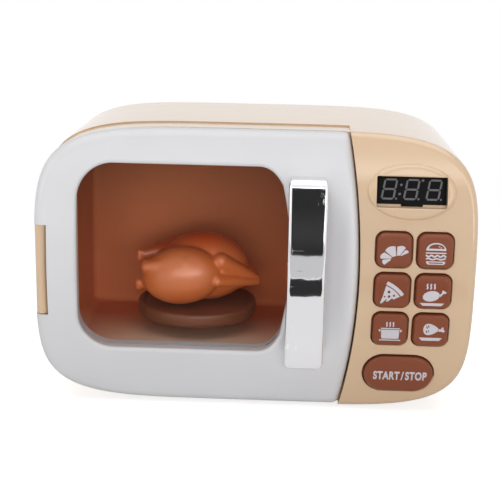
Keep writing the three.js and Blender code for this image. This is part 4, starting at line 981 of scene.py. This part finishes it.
def croissantShapes():
    shapes = []
    cuts = [(200, 166, 1.5), (160, 127, 2.9), (121, 82, 3.6), (76, 42, 3.0), (36, 14, 1.6)]
    for start, end, thick in cuts:
        t = np.radians(np.linspace(start, end, 9))
        swell = thick * np.sin(np.linspace(0.85, math.pi - 0.85, 9))
        outer = [((5.4 + s) * math.cos(a), (5.2 + s) * math.sin(a)) for a, s in zip(t, swell)]
        inner = [(2.7 * math.cos(a), 0.4 + 1.2 * math.sin(a)) for a in t[::-1]]
        shapes.append(outer + inner)
    return [turned(shape, 17, -0.1, 0.5) for shape in placed(shapes, 1.16, 0.84, 0, -4.4 * 0.84)]


def burgerShapes():
    arc = np.linspace(0, math.pi, 25)
    crown, hollow = [[(x + wide * math.cos(a), up + high * math.sin(a)) for a in arc]
                     for x, up, wide, high in ((0, 1.9, 5.6, 4.4), (0.2, 3.0, 4.3, 2.5))]
    seeds = [turned(disc(0, 0, 0.55, 0.28, 10), 20, x, up) for x, up in ((1.6, 4.2), (2.7, 3.6))]
    t = np.linspace(-5.7, 5.7, 33)
    cheese = strip(np.stack([t, 0.55 + 0 * t], 1), 0.75)
    salad = strip(np.stack([t, -1.15 + 0.45 * np.sin(t * 1.9)], 1), 0.95)
    patty = strip(np.stack([t * 0.97, -2.85 + 0.3 * np.sin(t * 1.3 + 1)], 1), 0.85)
    base, groove = mirrored([(4.4, -6.0), (5.2, -5.2), (5.3, -4.1)]), mirrored([(3.7, -5.35), (4.2, -4.75)])
    return [crown, hollow, *seeds, cheese, salad, patty, base, groove]


def pizzaShapes():
    crust = strip([(-5.2, 5.4), (-2.8, 5.9), (0, 6.1), (2.8, 5.9), (5.2, 5.4)], 1.9)
    wedge = [(-4.6, 4.0), (-2.3, 4.5), (0, 4.7), (2.3, 4.5), (4.6, 4.0), (3.0, 0.6), (2.1, 0.9),
             (1.6, -1.7), (0.9, -2.6), (0.2, -0.9), (-0.2, -4.4), (-0.9, -5.2), (-1.4, -3.9),
             (-2.0, -2.0), (-3.2, 0.8)]
    holes = [disc(x, up, radius, count=count) for x, up, radius, count in (
        (-1.3, 2.4, 0.75, 14), (1.9, 2.5, 0.6, 12), (0.3, 0.6, 0.7, 14), (-1.4, -0.9, 0.45, 10))]
    return placed([turned(shape, -38) for shape in (crust, wedge, *holes)], 1.1, 1.1, -2.5, -2.2)


def chickenShapes():
    turns = np.linspace(0, 2 * math.pi, 32, endpoint=False)
    breast = [(-0.6 + 4.3 * math.cos(a), max(-1.3 + 2.8 * math.sin(a) + 0.5 * math.cos(a), -4.1))
              for a in turns]
    leg = [(3.2, -0.9), (4.9, 0.8), (4.7, 1.7), (5.5, 2.1), (6.0, 1.4), (6.9, 1.3), (7.0, 0.5),
           (6.1, 0.1), (5.4, 0.1), (4.1, -1.7)]
    return placed([breast, leg, plateShape(), *steam(-1.2, 2.4)], 1.1, 1.1, -0.6, 0.4)


def potShapes():
    pot = mirrored([(4.6, -4.3), (5.0, -3.6), (5.2, 1.3)])
    cap, base = mirrored([(5.4, 1.7), (5.4, 2.4)]), mirrored([(6.0, -5.5), (6.0, -4.8)])
    ears = [[(s * 5.5, 1.4), (s * 6.6, 1.4), (s * 6.6, 0.6), (s * 6.0, 0.0), (s * 5.5, -0.2)]
            for s in (-1, 1)]
    return [pot, cap, *ears, base, *steam(-0.5, 3.2, 2.8)]


def hamShapes():
    turns = np.linspace(0, 2 * math.pi, 40, endpoint=False)
    ham = [(-0.9 + 4.4 * math.cos(a), -0.6 + 3.7 * math.sin(a) * (1 - 0.31 * (math.cos(a) + 1)))
           for a in turns]
    bone = [(3.1, -0.4), (4.7, -0.3), (5.2, 0.6), (6.1, 0.5), (6.2, -0.5), (6.9, -1.1), (6.4, -1.9),
            (5.5, -1.7), (4.8, -1.5), (3.1, -1.5)]
    marks = [stroke(-3.6, 1.1, -2.9, -0.3, 0.55), stroke(-2.6, 1.5, -2.0, 0.2, 0.55),
             stroke(-3.7, -1.1, -3.1, -2.4, 0.55), stroke(-2.6, -0.9, -2.1, -2.0, 0.5)]
    return placed([*placed([ham, bone, *marks], x=0.9), plateShape(13.2, -4.6)], 1, 1.28, 0, 3.0)


def makePrint(name, shapes):
    obj, places = flatShape(shapes, name + "_print", 0, printSet["thick"])
    return layOnKey(obj, [(across, out, up - printSet["drop"]) for across, out, up in places], name)


def makeWords():
    bpy.ops.object.text_add()
    text = bpy.context.active_object.data
    text.body, text.size, text.offset = words["text"], words["size"] * mm, words["bolder"] * mm
    text.align_x, text.align_y, text.extrude = "CENTER", "CENTER", printSet["thick"] / 2 * mm
    text.space_character, text.space_word = words["letterSpace"], words["wordSpace"]
    bpy.ops.object.convert(target="MESH")
    obj = named(bpy.context.active_object, "start_stop_print")
    points = np.array([v.co for v in obj.data.vertices])
    wide, high, _ = np.ptp(points, 0)
    places = [(across * words["width"] / wide + words["right"], -out / mm,
               up * words["height"] / high - words["drop"]) for across, up, out in points.tolist()]
    return layOnKey(obj, places, "start_stop")


icons = {
    "croissant": croissantShapes, "burger": burgerShapes, "pizza": pizzaShapes,
    "chicken": chickenShapes, "pot": potShapes, "ham": hamShapes,
}
keyTops = {name: makeKey(name) for name in keyPlaces}
prints = {name: makePrint(name, draw()) for name, draw in icons.items()}
prints["start_stop"] = makeWords()
print("buttons modelled")


# Roast chicken: swelling lobes and tapering limbs, grown together and smoothed

bird = {
    "seat": -32.7, "voxel": 0.65, "smoothing": 5, "balls": 17,
    "lobes": [  # x, y, z, then half sizes, then the tilt in degrees
        (-31.5, 63, -11.2, 27, 18, 21.2, 3), (-17, 63, -13.5, 15, 10, 10.5, 34),
        (-51, 62, -14, 13, 18, 14, 0),
        (-44.6, 47.4, -13.6, 24.2, 13, 17.9, -7), (-44.6, 76.6, -13.6, 24.2, 13, 17.9, -7),
    ],
    "limbs": [  # from, to, then the radius at each end
        ((-42, 44.6, -6.5), (-65.2, 42.4, -7.4), 8.7, 3.6),
        ((-65.6, 43.2, -6), (-65.8, 43.2, -8.6), 3, 3),
        ((-54, 51, -18), (-70.6, 50.5, -20.6), 6, 2.8),
        ((-71, 50.2, -19.6), (-71, 50.6, -22), 2.6, 2.6),
        ((-52, 72, -4), (-71.6, 67.2, -6.6), 6.4, 3),
        ((-72.4, 66.8, -5.2), (-72.4, 66.8, -8.6), 2.9, 2.9),
        ((-20.5, 47.6, -4), (1.2, 58.6, -16.6), 4.9, 2.0),
        ((-21, 51, -9.5), (0.4, 60, -18), 6, 2.0),
        ((-22.4, 43.2, -15.4), (0.6, 57.2, -19), 3.8, 2.5),
        ((-20.5, 76.4, -4), (0.2, 66, -16.6), 4.9, 2.0),
        ((-21, 73, -9.5), (-0.4, 65, -18), 6, 2.0),
        ((-22.4, 80.8, -15.4), (-0.6, 66.8, -19), 3.8, 2.5),
    ],
}


def addBall(place, sizes, tilt=0.0):
    bpy.ops.mesh.primitive_uv_sphere_add(segments=48, ring_count=24, location=row(*place),
                                         rotation=(0, math.radians(tilt), 0))
    ball = bpy.context.active_object
    ball.scale = [size * mm for size in sizes]
    return settle(ball)


def makeBird():
    parts = [addBall(lobe[:3], lobe[3:6], lobe[6]) for lobe in bird["lobes"]]
    for start, end, startRadius, endRadius in bird["limbs"]:
        for share in np.linspace(0, 1, bird["balls"]).tolist():
            place = [a + (b - a) * share for a, b in zip(start, end)]
            radius = startRadius + (endRadius - startRadius) * share
            parts.append(addBall(place, (radius,) * 3))
    roast = merged(parts, "play_roast")
    applied(roast, "REMESH", mode="VOXEL", voxel_size=bird["voxel"] * mm)
    applied(roast, "SMOOTH", factor=0.5, iterations=bird["smoothing"])
    editing(roast)
    bpy.ops.mesh.bisect(plane_co=row(0, 0, bird["seat"]), plane_no=(0, 0, -1), use_fill=True,
                        clear_outer=True)
    modelled()
    return smooth(roast, 60)


roast = makeBird()
print("play roast modelled")


# Feet

footSet = {"x": 70, "front": 31.5, "back": 112, "drop": 1.5, "radius": 5.5, "plug": 2.4}


def makeFoot(name, side, y):
    half, radius, plug = body["height"] / 2, footSet["radius"], footSet["plug"]
    floor, base = -half - footSet["drop"], -half - gap
    surface = -bodyEdge(half, footSet["x"] / (body["width"] / 2))
    profile = [(plug, surface + 4.5), (plug, base), (radius - 0.2, base), (radius, base - 0.2),
               (radius, floor + 0.4), (radius - 0.4, floor), (3.2, floor), (2.8, floor + 0.25),
               (1, floor + 0.25)]
    return smooth(named(turnUpright(side * footSet["x"], y, profile, 48), name), 40)


feet = {}
for label in ("front", "back"):
    for number, side in ((1, -1), (2, 1)):
        feet[f"foot_{label}_{number}"] = makeFoot(f"pad_{label}_{number}", side, footSet[label])
print("feet modelled")


# Which body each piece rides on, and the node that it stands for

dressed = [
    (frameFront, "oven_body", "peach_plastic", "front_frame"),
    (rearShell, "oven_body", "peach_plastic", "rear_housing"),
    (lid, "oven_body", "peach_plastic", "battery_cover"),
    (liner, "oven_body", "cavity_plastic", "cavity_liner"),
    (digitBlock, "oven_body", "black_plastic", "display_module"),
    (digits, "oven_body", "black_plastic", None),
    (doorFront, "door", "white_plastic", "door_shell"),
    (innerFrame, "door", "white_plastic", "door_inner_frame"),
    (pullBar, "door", "chrome_plate", "handle"),
    (plate, "turntable", "plate_plastic", "turntable_plate"),
    (hub, "turntable", "plate_plastic", "drive_hub"),
    (roast, "chicken", "roast_skin", "roast_chicken"),
]
for name, top in keyTops.items():
    dressed.append((top, name + "_key", "button_plastic", name + "_button"))
    dressed.append((prints[name], name + "_key", "button_plastic", None))
dressed += [(screw, carrier, "steel", node) for screw, node, carrier in screws]
dressed += [(foot, "oven_body", "rubber", node) for node, foot in feet.items()]
for obj, carrier, slotName, node in dressed:
    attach(obj, carrier)
    if node:
        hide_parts(node)
print("pieces dressed")


# Materials: shared effects first, then one finish for each slot

moulded = {"edge": 0.0003, "coatRough": 0.15, "coatIor": 1.5, "gloss": 0.5}
finishes = {
    "peach_plastic": {"color": (0.71, 0.49, 0.30), "low": (0.69, 0.475, 0.287), "rough": 0.4,
                      "spread": 0.06, "grain": 0.05, "coat": 1.0, "coatIor": 1.65},
    "white_plastic": {"color": (0.735, 0.73, 0.745), "low": (0.715, 0.71, 0.725), "rough": 0.3,
                      "spread": 0.05, "grain": 0.04, "coat": 0.15},
    "cavity_plastic": {"color": (0.74, 0.225, 0.082), "low": (0.70, 0.21, 0.075), "rough": 0.6,
                       "spread": 0.08, "grain": 0.03, "coat": 0.0, "gloss": 0.15},
    "plate_plastic": {"color": (0.19, 0.055, 0.020), "low": (0.17, 0.049, 0.018), "rough": 0.4,
                      "spread": 0.06, "grain": 0.04, "coat": 0.1, "gloss": 0.3},
    "button_plastic": {"color": (0.245, 0.059, 0.0205), "low": (0.23, 0.055, 0.0185), "rough": 0.4,
                       "spread": 0.06, "grain": 0.04, "coat": 0.4, "gloss": 0.2},
    "black_plastic": {"color": (0.006, 0.006, 0.007), "low": (0.008, 0.008, 0.009), "rough": 0.4,
                      "spread": 0.05, "grain": 0.03, "coat": 0.0, "gloss": 0.06},
    "rubber": {"color": (0.07, 0.07, 0.073), "low": (0.05, 0.05, 0.052), "rough": 0.8,
               "spread": 0.08, "grain": 0.25, "coat": 0.0},
    "battery_sleeve": {"color": (0.05, 0.08, 0.13), "low": (0.04, 0.065, 0.11), "rough": 0.35,
                       "spread": 0.06, "grain": 0.05, "coat": 0.2},
    "circuit_board": {"color": (0.03, 0.16, 0.07), "low": (0.02, 0.12, 0.05), "rough": 0.4,
                      "spread": 0.1, "grain": 0.15, "coat": 0.1},
    "print": {"color": (0.655, 0.62, 0.655), "low": (0.62, 0.585, 0.625), "rough": 0.5,
              "spread": 0.05, "grain": 0.05, "coat": 0.0},
    "segments": {"color": (0.17, 0.17, 0.18), "low": (0.15, 0.15, 0.16), "rough": 0.4,
                 "spread": 0.05, "grain": 0.03, "coat": 0.0, "gloss": 0.1},
}
# painted light in the cooking space: a pale tan for a painted pool of light on the front of its floor, a
# dark brown for painted shade on its upper part
paintedCavityLight = {"color": (0.92, 0.62, 0.44), "dark": (0.10, 0.028, 0.008), "darkMost": 0.55}
chrome = {"color": (0.86, 0.86, 0.88), "scratch": (0.98, 0.98, 0.98), "rough": (0.045, 0.55)}
steel = {"dark": (0.5, 0.51, 0.53), "pale": (0.66, 0.67, 0.69), "rough": (0.25, 0.42)}
pane = {"color": (0.97, 0.98, 0.98), "shadow": (0.92, 0.93, 0.93), "ior": 1.14,
        "scratches": 0.35, "rough": (0.02, 0.35)}
skin = {"color": (0.74, 0.185, 0.046), "browned": (0.66, 0.085, 0.012), "rough": (0.3, 0.45),
        "coat": 0.3, "coatRough": 0.2}


def feed(node, settings):  # each socket takes its value or its link
    for label, value in settings.items():
        socket = node.inputs[label]
        if isinstance(value, bpy.types.NodeSocket):
            node.id_data.links.new(value, socket)
        else:
            socket.default_value = (*value, 1) if socket.type == "RGBA" else value


def addNode(tree, kind, settings=None, output=0, **modes):  # gives one output, or all of them
    node = tree.nodes.new("ShaderNode" + kind)
    for key, value in modes.items():
        setattr(node, key, value)
    feed(node, settings or {})
    return node.outputs if output is None else node.outputs[output]


def noise(tree, scale, detail=2.0, stretch=(1, 1, 1)):  # noise in object coordinates, metres
    place = addNode(tree, "TexCoord", output="Object")
    place = addNode(tree, "Mapping", {"Vector": place, "Scale": stretch})
    return addNode(tree, "TexNoise", {"Vector": place, "Scale": scale, "Detail": detail}, "Fac")


def spread(tree, value, low, high, toLow=0.0, toHigh=1.0):  # maps one range to another
    return addNode(tree, "MapRange", {"Value": value, "From Min": low, "From Max": high,
                                      "To Min": toLow, "To Max": toHigh}, "Result")


def blendColor(tree, share, first, second):  # 6, 7 and 2 are the node's colour sockets
    return addNode(tree, "Mix", {"Factor": share, 6: first, 7: second}, 2, data_type="RGBA")


def calculate(tree, how, first, second):
    return addNode(tree, "Math", {0: first, 1: second}, operation=how)


def bumped(tree, height, strength, distance):
    return addNode(tree, "Bump", {"Height": height, "Strength": strength, "Distance": distance})


def effect(name, inputs, outputs):  # a node group with its sockets
    tree = bpy.data.node_groups.new(name, "ShaderNodeTree")
    for label, value in inputs.items():
        kind = "NodeSocketColor" if isinstance(value, tuple) else "NodeSocketFloat"
        tree.interface.new_socket(label, in_out="INPUT", socket_type=kind).default_value = value
    for label, kind in outputs.items():
        tree.interface.new_socket(label, in_out="OUTPUT", socket_type="NodeSocket" + kind)
    return tree, tree.nodes.new("NodeGroupInput").outputs, tree.nodes.new("NodeGroupOutput")


def makeMouldedSurface():  # two close shades, patchy gloss, fine grain and rounded edges
    tree, given, result = effect(
        "moulded_surface",
        {"Color": (0.8, 0.8, 0.8, 1), "Low": (0.7, 0.7, 0.7, 1), "Rough": 0.4, "Spread": 0.05,
         "Grain": 0.1, "Edge": moulded["edge"]},
        {"Color": "Color", "Roughness": "Float", "Normal": "Vector"})
    share = spread(tree, noise(tree, 22), 0.35, 0.65)
    patchy = calculate(tree, "SUBTRACT", noise(tree, 160, 4), 0.5)
    patchy = calculate(tree, "MULTIPLY", patchy, given["Spread"])
    feed(result, {
        "Color": blendColor(tree, share, given["Color"], given["Low"]),
        "Roughness": calculate(tree, "ADD", given["Rough"], patchy),
        "Normal": addNode(tree, "Bump", {
            "Strength": given["Grain"], "Distance": 0.00008, "Height": noise(tree, 2400, 2),
            "Normal": addNode(tree, "Bevel", {"Radius": given["Edge"]}, samples=6)})})
    return tree


def makeHairlines():  # a mask of fine scratches, running up and across
    tree, given, result = effect("hairlines", {"Amount": 0.5}, {"Mask": "Float"})
    lines = [spread(tree, noise(tree, 900, 3, stretch), 0.66, 0.72)
             for stretch in ((1, 1, 0.04), (0.05, 1, 0.7), (0.5, 0.5, 0.12))]
    mask = calculate(tree, "MAXIMUM", calculate(tree, "MAXIMUM", lines[0], lines[1]), lines[2])
    mask = calculate(tree, "MULTIPLY", mask, spread(tree, noise(tree, 40, 1), 0.45, 0.6))
    feed(result, {"Mask": calculate(tree, "MULTIPLY", mask, given["Amount"])})
    return tree


surfaceEffect, hairlineEffect = makeMouldedSurface(), makeHairlines()


def startMaterial(name):
    material = bpy.data.materials.new(name + "_finish")
    material.use_nodes = True
    return material, material.node_tree, material.node_tree.nodes["Principled BSDF"]


def mouldedMaterial(name):
    values = finishes[name]
    material, tree, shader = startMaterial(name)
    surface = addNode(tree, "Group", {
        "Color": values["color"], "Low": values["low"], "Rough": values["rough"],
        "Spread": values["spread"], "Grain": values["grain"], "Edge": moulded["edge"]},
        None, node_tree=surfaceEffect)
    feed(shader, {
        "Base Color": surface["Color"], "Roughness": surface["Roughness"],
        "Normal": surface["Normal"], "Coat Weight": values["coat"],
        "Coat Roughness": moulded["coatRough"], "Coat IOR": values.get("coatIor", moulded["coatIor"]),
        "Specular IOR Level": values.get("gloss", moulded["gloss"])})
    return material


def objectPlace(tree):
    return addNode(tree, "SeparateXYZ", {0: addNode(tree, "TexCoord", output="Object")}, None)


def cookingSpaceMaterial():  # the front of its floor has a painted pool of pale light, its upper part painted shade, darker towards the top
    material = mouldedMaterial("cavity_plastic")
    tree = material.node_tree
    shader, place = tree.nodes["Principled BSDF"], objectPlace(tree)
    # painted light: the front of the floor is blended towards a pale tan, patchy by noise
    share = calculate(tree, "MULTIPLY", spread(tree, place["Z"], 0.045, 0.0355),
                      spread(tree, place["Y"], 0.018, -0.03))
    share = calculate(tree, "MULTIPLY", share, spread(tree, noise(tree, 60, 3), 0.2, 0.8, 0.8, 1.0))
    color = blendColor(tree, share, shader.inputs["Base Color"].links[0].from_socket, paintedCavityLight["color"])
    # painted shade: the liner turns darker towards the top
    shade = spread(tree, place["Z"], 0.06, 0.135, 0.0, paintedCavityLight["darkMost"])
    feed(shader, {"Base Color": blendColor(tree, shade, color, paintedCavityLight["dark"])})
    return material


def chromeMaterial():
    material, tree, shader = startMaterial("chrome")
    mask = addNode(tree, "Group", {"Amount": 1.0}, "Mask", node_tree=hairlineEffect)
    wavy = calculate(tree, "ADD", calculate(tree, "MULTIPLY", noise(tree, 90, 2), 1.5), mask)
    feed(shader, {
        "Metallic": 1, "Base Color": blendColor(tree, mask, chrome["color"], chrome["scratch"]),
        "Roughness": spread(tree, mask, 0, 1, *chrome["rough"]),
        "Normal": bumped(tree, wavy, 0.5, 0.00008)})
    return material


def steelMaterial():
    material, tree, shader = startMaterial("steel")
    share = noise(tree, 500, 3, (1, 1, 0.2))
    feed(shader, {
        "Metallic": 1, "Base Color": blendColor(tree, share, steel["dark"], steel["pale"]),
        "Roughness": spread(tree, share, 0.3, 0.7, *steel["rough"])})
    return material


def paneMaterial():  # lets light and shadow rays straight through
    material, tree, shader = startMaterial("clear_pane")
    mask = addNode(tree, "Group", {"Amount": pane["scratches"]}, "Mask", node_tree=hairlineEffect)
    feed(shader, {
        "Base Color": pane["color"], "Transmission Weight": 1, "IOR": pane["ior"],
        "Roughness": spread(tree, mask, 0, 1, *pane["rough"]),
        "Normal": bumped(tree, mask, 0.2, 0.00003)})
    light = addNode(tree, "LightPath", output=None)
    feed(tree.nodes["Material Output"], {"Surface": addNode(tree, "MixShader", {
        0: calculate(tree, "MAXIMUM", light["Is Shadow Ray"], light["Is Diffuse Ray"]),
        1: shader.outputs[0], 2: addNode(tree, "BsdfTransparent", {"Color": pane["shadow"]})})})
    return material


def roastMaterial():  # browned towards the top and the back
    material, tree, shader = startMaterial("roast_skin")
    place = objectPlace(tree)
    behind = calculate(tree, "MULTIPLY", calculate(tree, "ADD", place["Y"], 0.0145), 0.5)
    height = spread(tree, calculate(tree, "ADD", place["Z"], behind), 0.084, 0.1)
    browned = calculate(tree, "ADD", height, spread(tree, noise(tree, 45, 3), 0.4, 0.75, -0.15, 0.3))
    feed(shader, {
        "Base Color": blendColor(tree, spread(tree, browned, 0.0, 1.0), skin["color"], skin["browned"]),
        "Roughness": spread(tree, noise(tree, 300, 3), 0.3, 0.7, *skin["rough"]),
        "Normal": bumped(tree, noise(tree, 420, 3), 0.15, 0.0002),
        "Coat Weight": skin["coat"], "Coat Roughness": skin["coatRough"]})
    return material


materials = {name: mouldedMaterial(name) for name in finishes}
materials["chrome_plate"], materials["steel"] = chromeMaterial(), steelMaterial()
materials["clear_pane"], materials["roast_skin"] = paneMaterial(), roastMaterial()
materials["cavity_plastic"] = cookingSpaceMaterial()

for obj, carrier, slotName, node in dressed:
    obj.data.materials.clear()
    obj.data.materials.append(materials[
        "print" if obj.name.endswith("_print") else "segments" if obj is digits else slotName])
carried = {
    "clear_pane": ["window_pane"],
    "circuit_board": ["key_board", "display_board"],
    "rubber": ["button_pad"],
    "black_plastic": ["speaker"],
    "battery_sleeve": ["battery_1", "battery_2", "battery_3"],
    "steel": ["hinge_pin", "turntable_motor", "battery_contacts_top", "battery_contacts_bottom",
              "board_screw_1", "board_screw_2", "board_screw_3", "motor_screw_1", "motor_screw_2",
              "display_screw_1", "display_screw_2", "handle_screw_1", "handle_screw_2"],
}
for slotName, nodeNames in carried.items():
    for name in nodeNames:
        for slotPlace in bpy.data.objects[name].material_slots:
            slotPlace.material = materials[slotName]
print("materials made")


# Stage: a pale floor, soft light from above, before and the left, cards that only reflections see

stage = {
    "floor": 3.0, "floorColor": 0.74, "lift": 0.72, "shine": 0.3, "ambient": 0.25, "near": 0.24, "far": 0.5,
    "lights": {  # place, aim, width, depth, power
        "above_light": ((0, -0.1, 1.15), (0, 0, 0.05), 1.5, 1.1, 6.5),
        "before_light": ((0.25, -1.6, 0.42), (0, 0, 0.08), 1.5, 0.7, 6.6),
        "low_light": ((0.12, -1.3, 0.13), (0, 0, 0.08), 1.2, 0.16, 2.4),
        "left_light": ((-1.2, -0.7, 0.6), (0, 0, 0.08), 0.8, 0.8, 2.0),
    },
    "cards": {  # brightness, left, right, then y and z of both long edges
        "far_card": (0.02, -0.26, 0.34, (-0.7, 0.022), (-0.7, 0.335)),
        "near_card": (0.03, -0.1, 0.17, (-0.38, 0.001), (-0.26, 0.001)),
        "grey_card": (0.62, -0.9, 0.9, (-0.95, 0.0005), (-0.395, 0.0005)),
    },
}


def addLight(name, place, aim, width, depth, power):
    bpy.ops.object.light_add(type="AREA", location=place)
    light = named(bpy.context.active_object, name)
    light.data.shape, light.data.energy = "RECTANGLE", power
    light.data.size, light.data.size_y = width, depth
    light.rotation_euler = (Vector(aim) - Vector(place)).to_track_quat("-Z", "Y").to_euler()


def addCard(name, shade, left, right, nearEdge, farEdge):
    bpy.ops.mesh.primitive_plane_add(size=1)
    card = named(bpy.context.active_object, name)
    corners = [(x, *edge) for edge in (nearEdge, farEdge) for x in (left, right)]
    for vertex, corner in zip(card.data.vertices, corners):
        vertex.co = corner
    material, tree, shader = startMaterial(name)
    feed(tree.nodes["Material Output"], {"Surface": addNode(tree, "Emission", {"Color": (shade,) * 3})})
    card.data.materials.append(material)
    card.visible_camera = card.visible_diffuse = card.visible_shadow = False
    card.visible_transmission = card.visible_volume_scatter = False


def makeFloor():  # pale, with the object's shadow near it and plain white further off
    bpy.ops.mesh.primitive_plane_add(size=2 * stage["floor"])
    floor = named(bpy.context.active_object, "pale_floor")
    material, tree, shader = startMaterial("floor")
    tree.nodes.remove(shader)
    level, light = stage["floorColor"], addNode(tree, "LightPath", output=None)
    color = blendColor(tree, noise(tree, 5, 2), (level,) * 3, (level - 0.01,) * 3)
    seen = calculate(tree, "MULTIPLY", light["Is Camera Ray"], stage["lift"])
    shone = calculate(tree, "MULTIPLY", light["Is Glossy Ray"], stage["shine"])
    pale = addNode(tree, "AddShader", {
        0: addNode(tree, "BsdfDiffuse", {"Color": color}),
        1: addNode(tree, "Emission", {"Strength": calculate(tree, "ADD", seen, shone)})})
    away = addNode(tree, "VectorMath", {0: addNode(tree, "TexCoord", output="Object")}, "Value",
                   operation="LENGTH")
    feed(tree.nodes["Material Output"], {"Surface": addNode(tree, "MixShader", {
        0: spread(tree, away, stage["near"], stage["far"]), 1: pale, 2: addNode(tree, "Emission")})})
    floor.data.materials.append(material)


def makeWorld():
    world = bpy.data.worlds.new("studio")
    bpy.context.scene.world = world
    world.use_nodes = True
    tree = world.node_tree
    light = addNode(tree, "LightPath", output=None)
    seen = calculate(tree, "MAXIMUM", light["Is Camera Ray"], light["Is Glossy Ray"])
    seen = calculate(tree, "MAXIMUM", seen, light["Is Transmission Ray"])
    feed(tree.nodes["Background"], {"Color": (1, 1, 1),
                                    "Strength": spread(tree, seen, 0, 1, stage["ambient"], 1.0)})


makeFloor()
makeWorld()
for name, values in stage["lights"].items():
    addLight(name, *values)
for name, values in stage["cards"].items():
    addCard(name, *values)
bpy.context.scene.view_settings.view_transform = "Standard"
print("stage set")
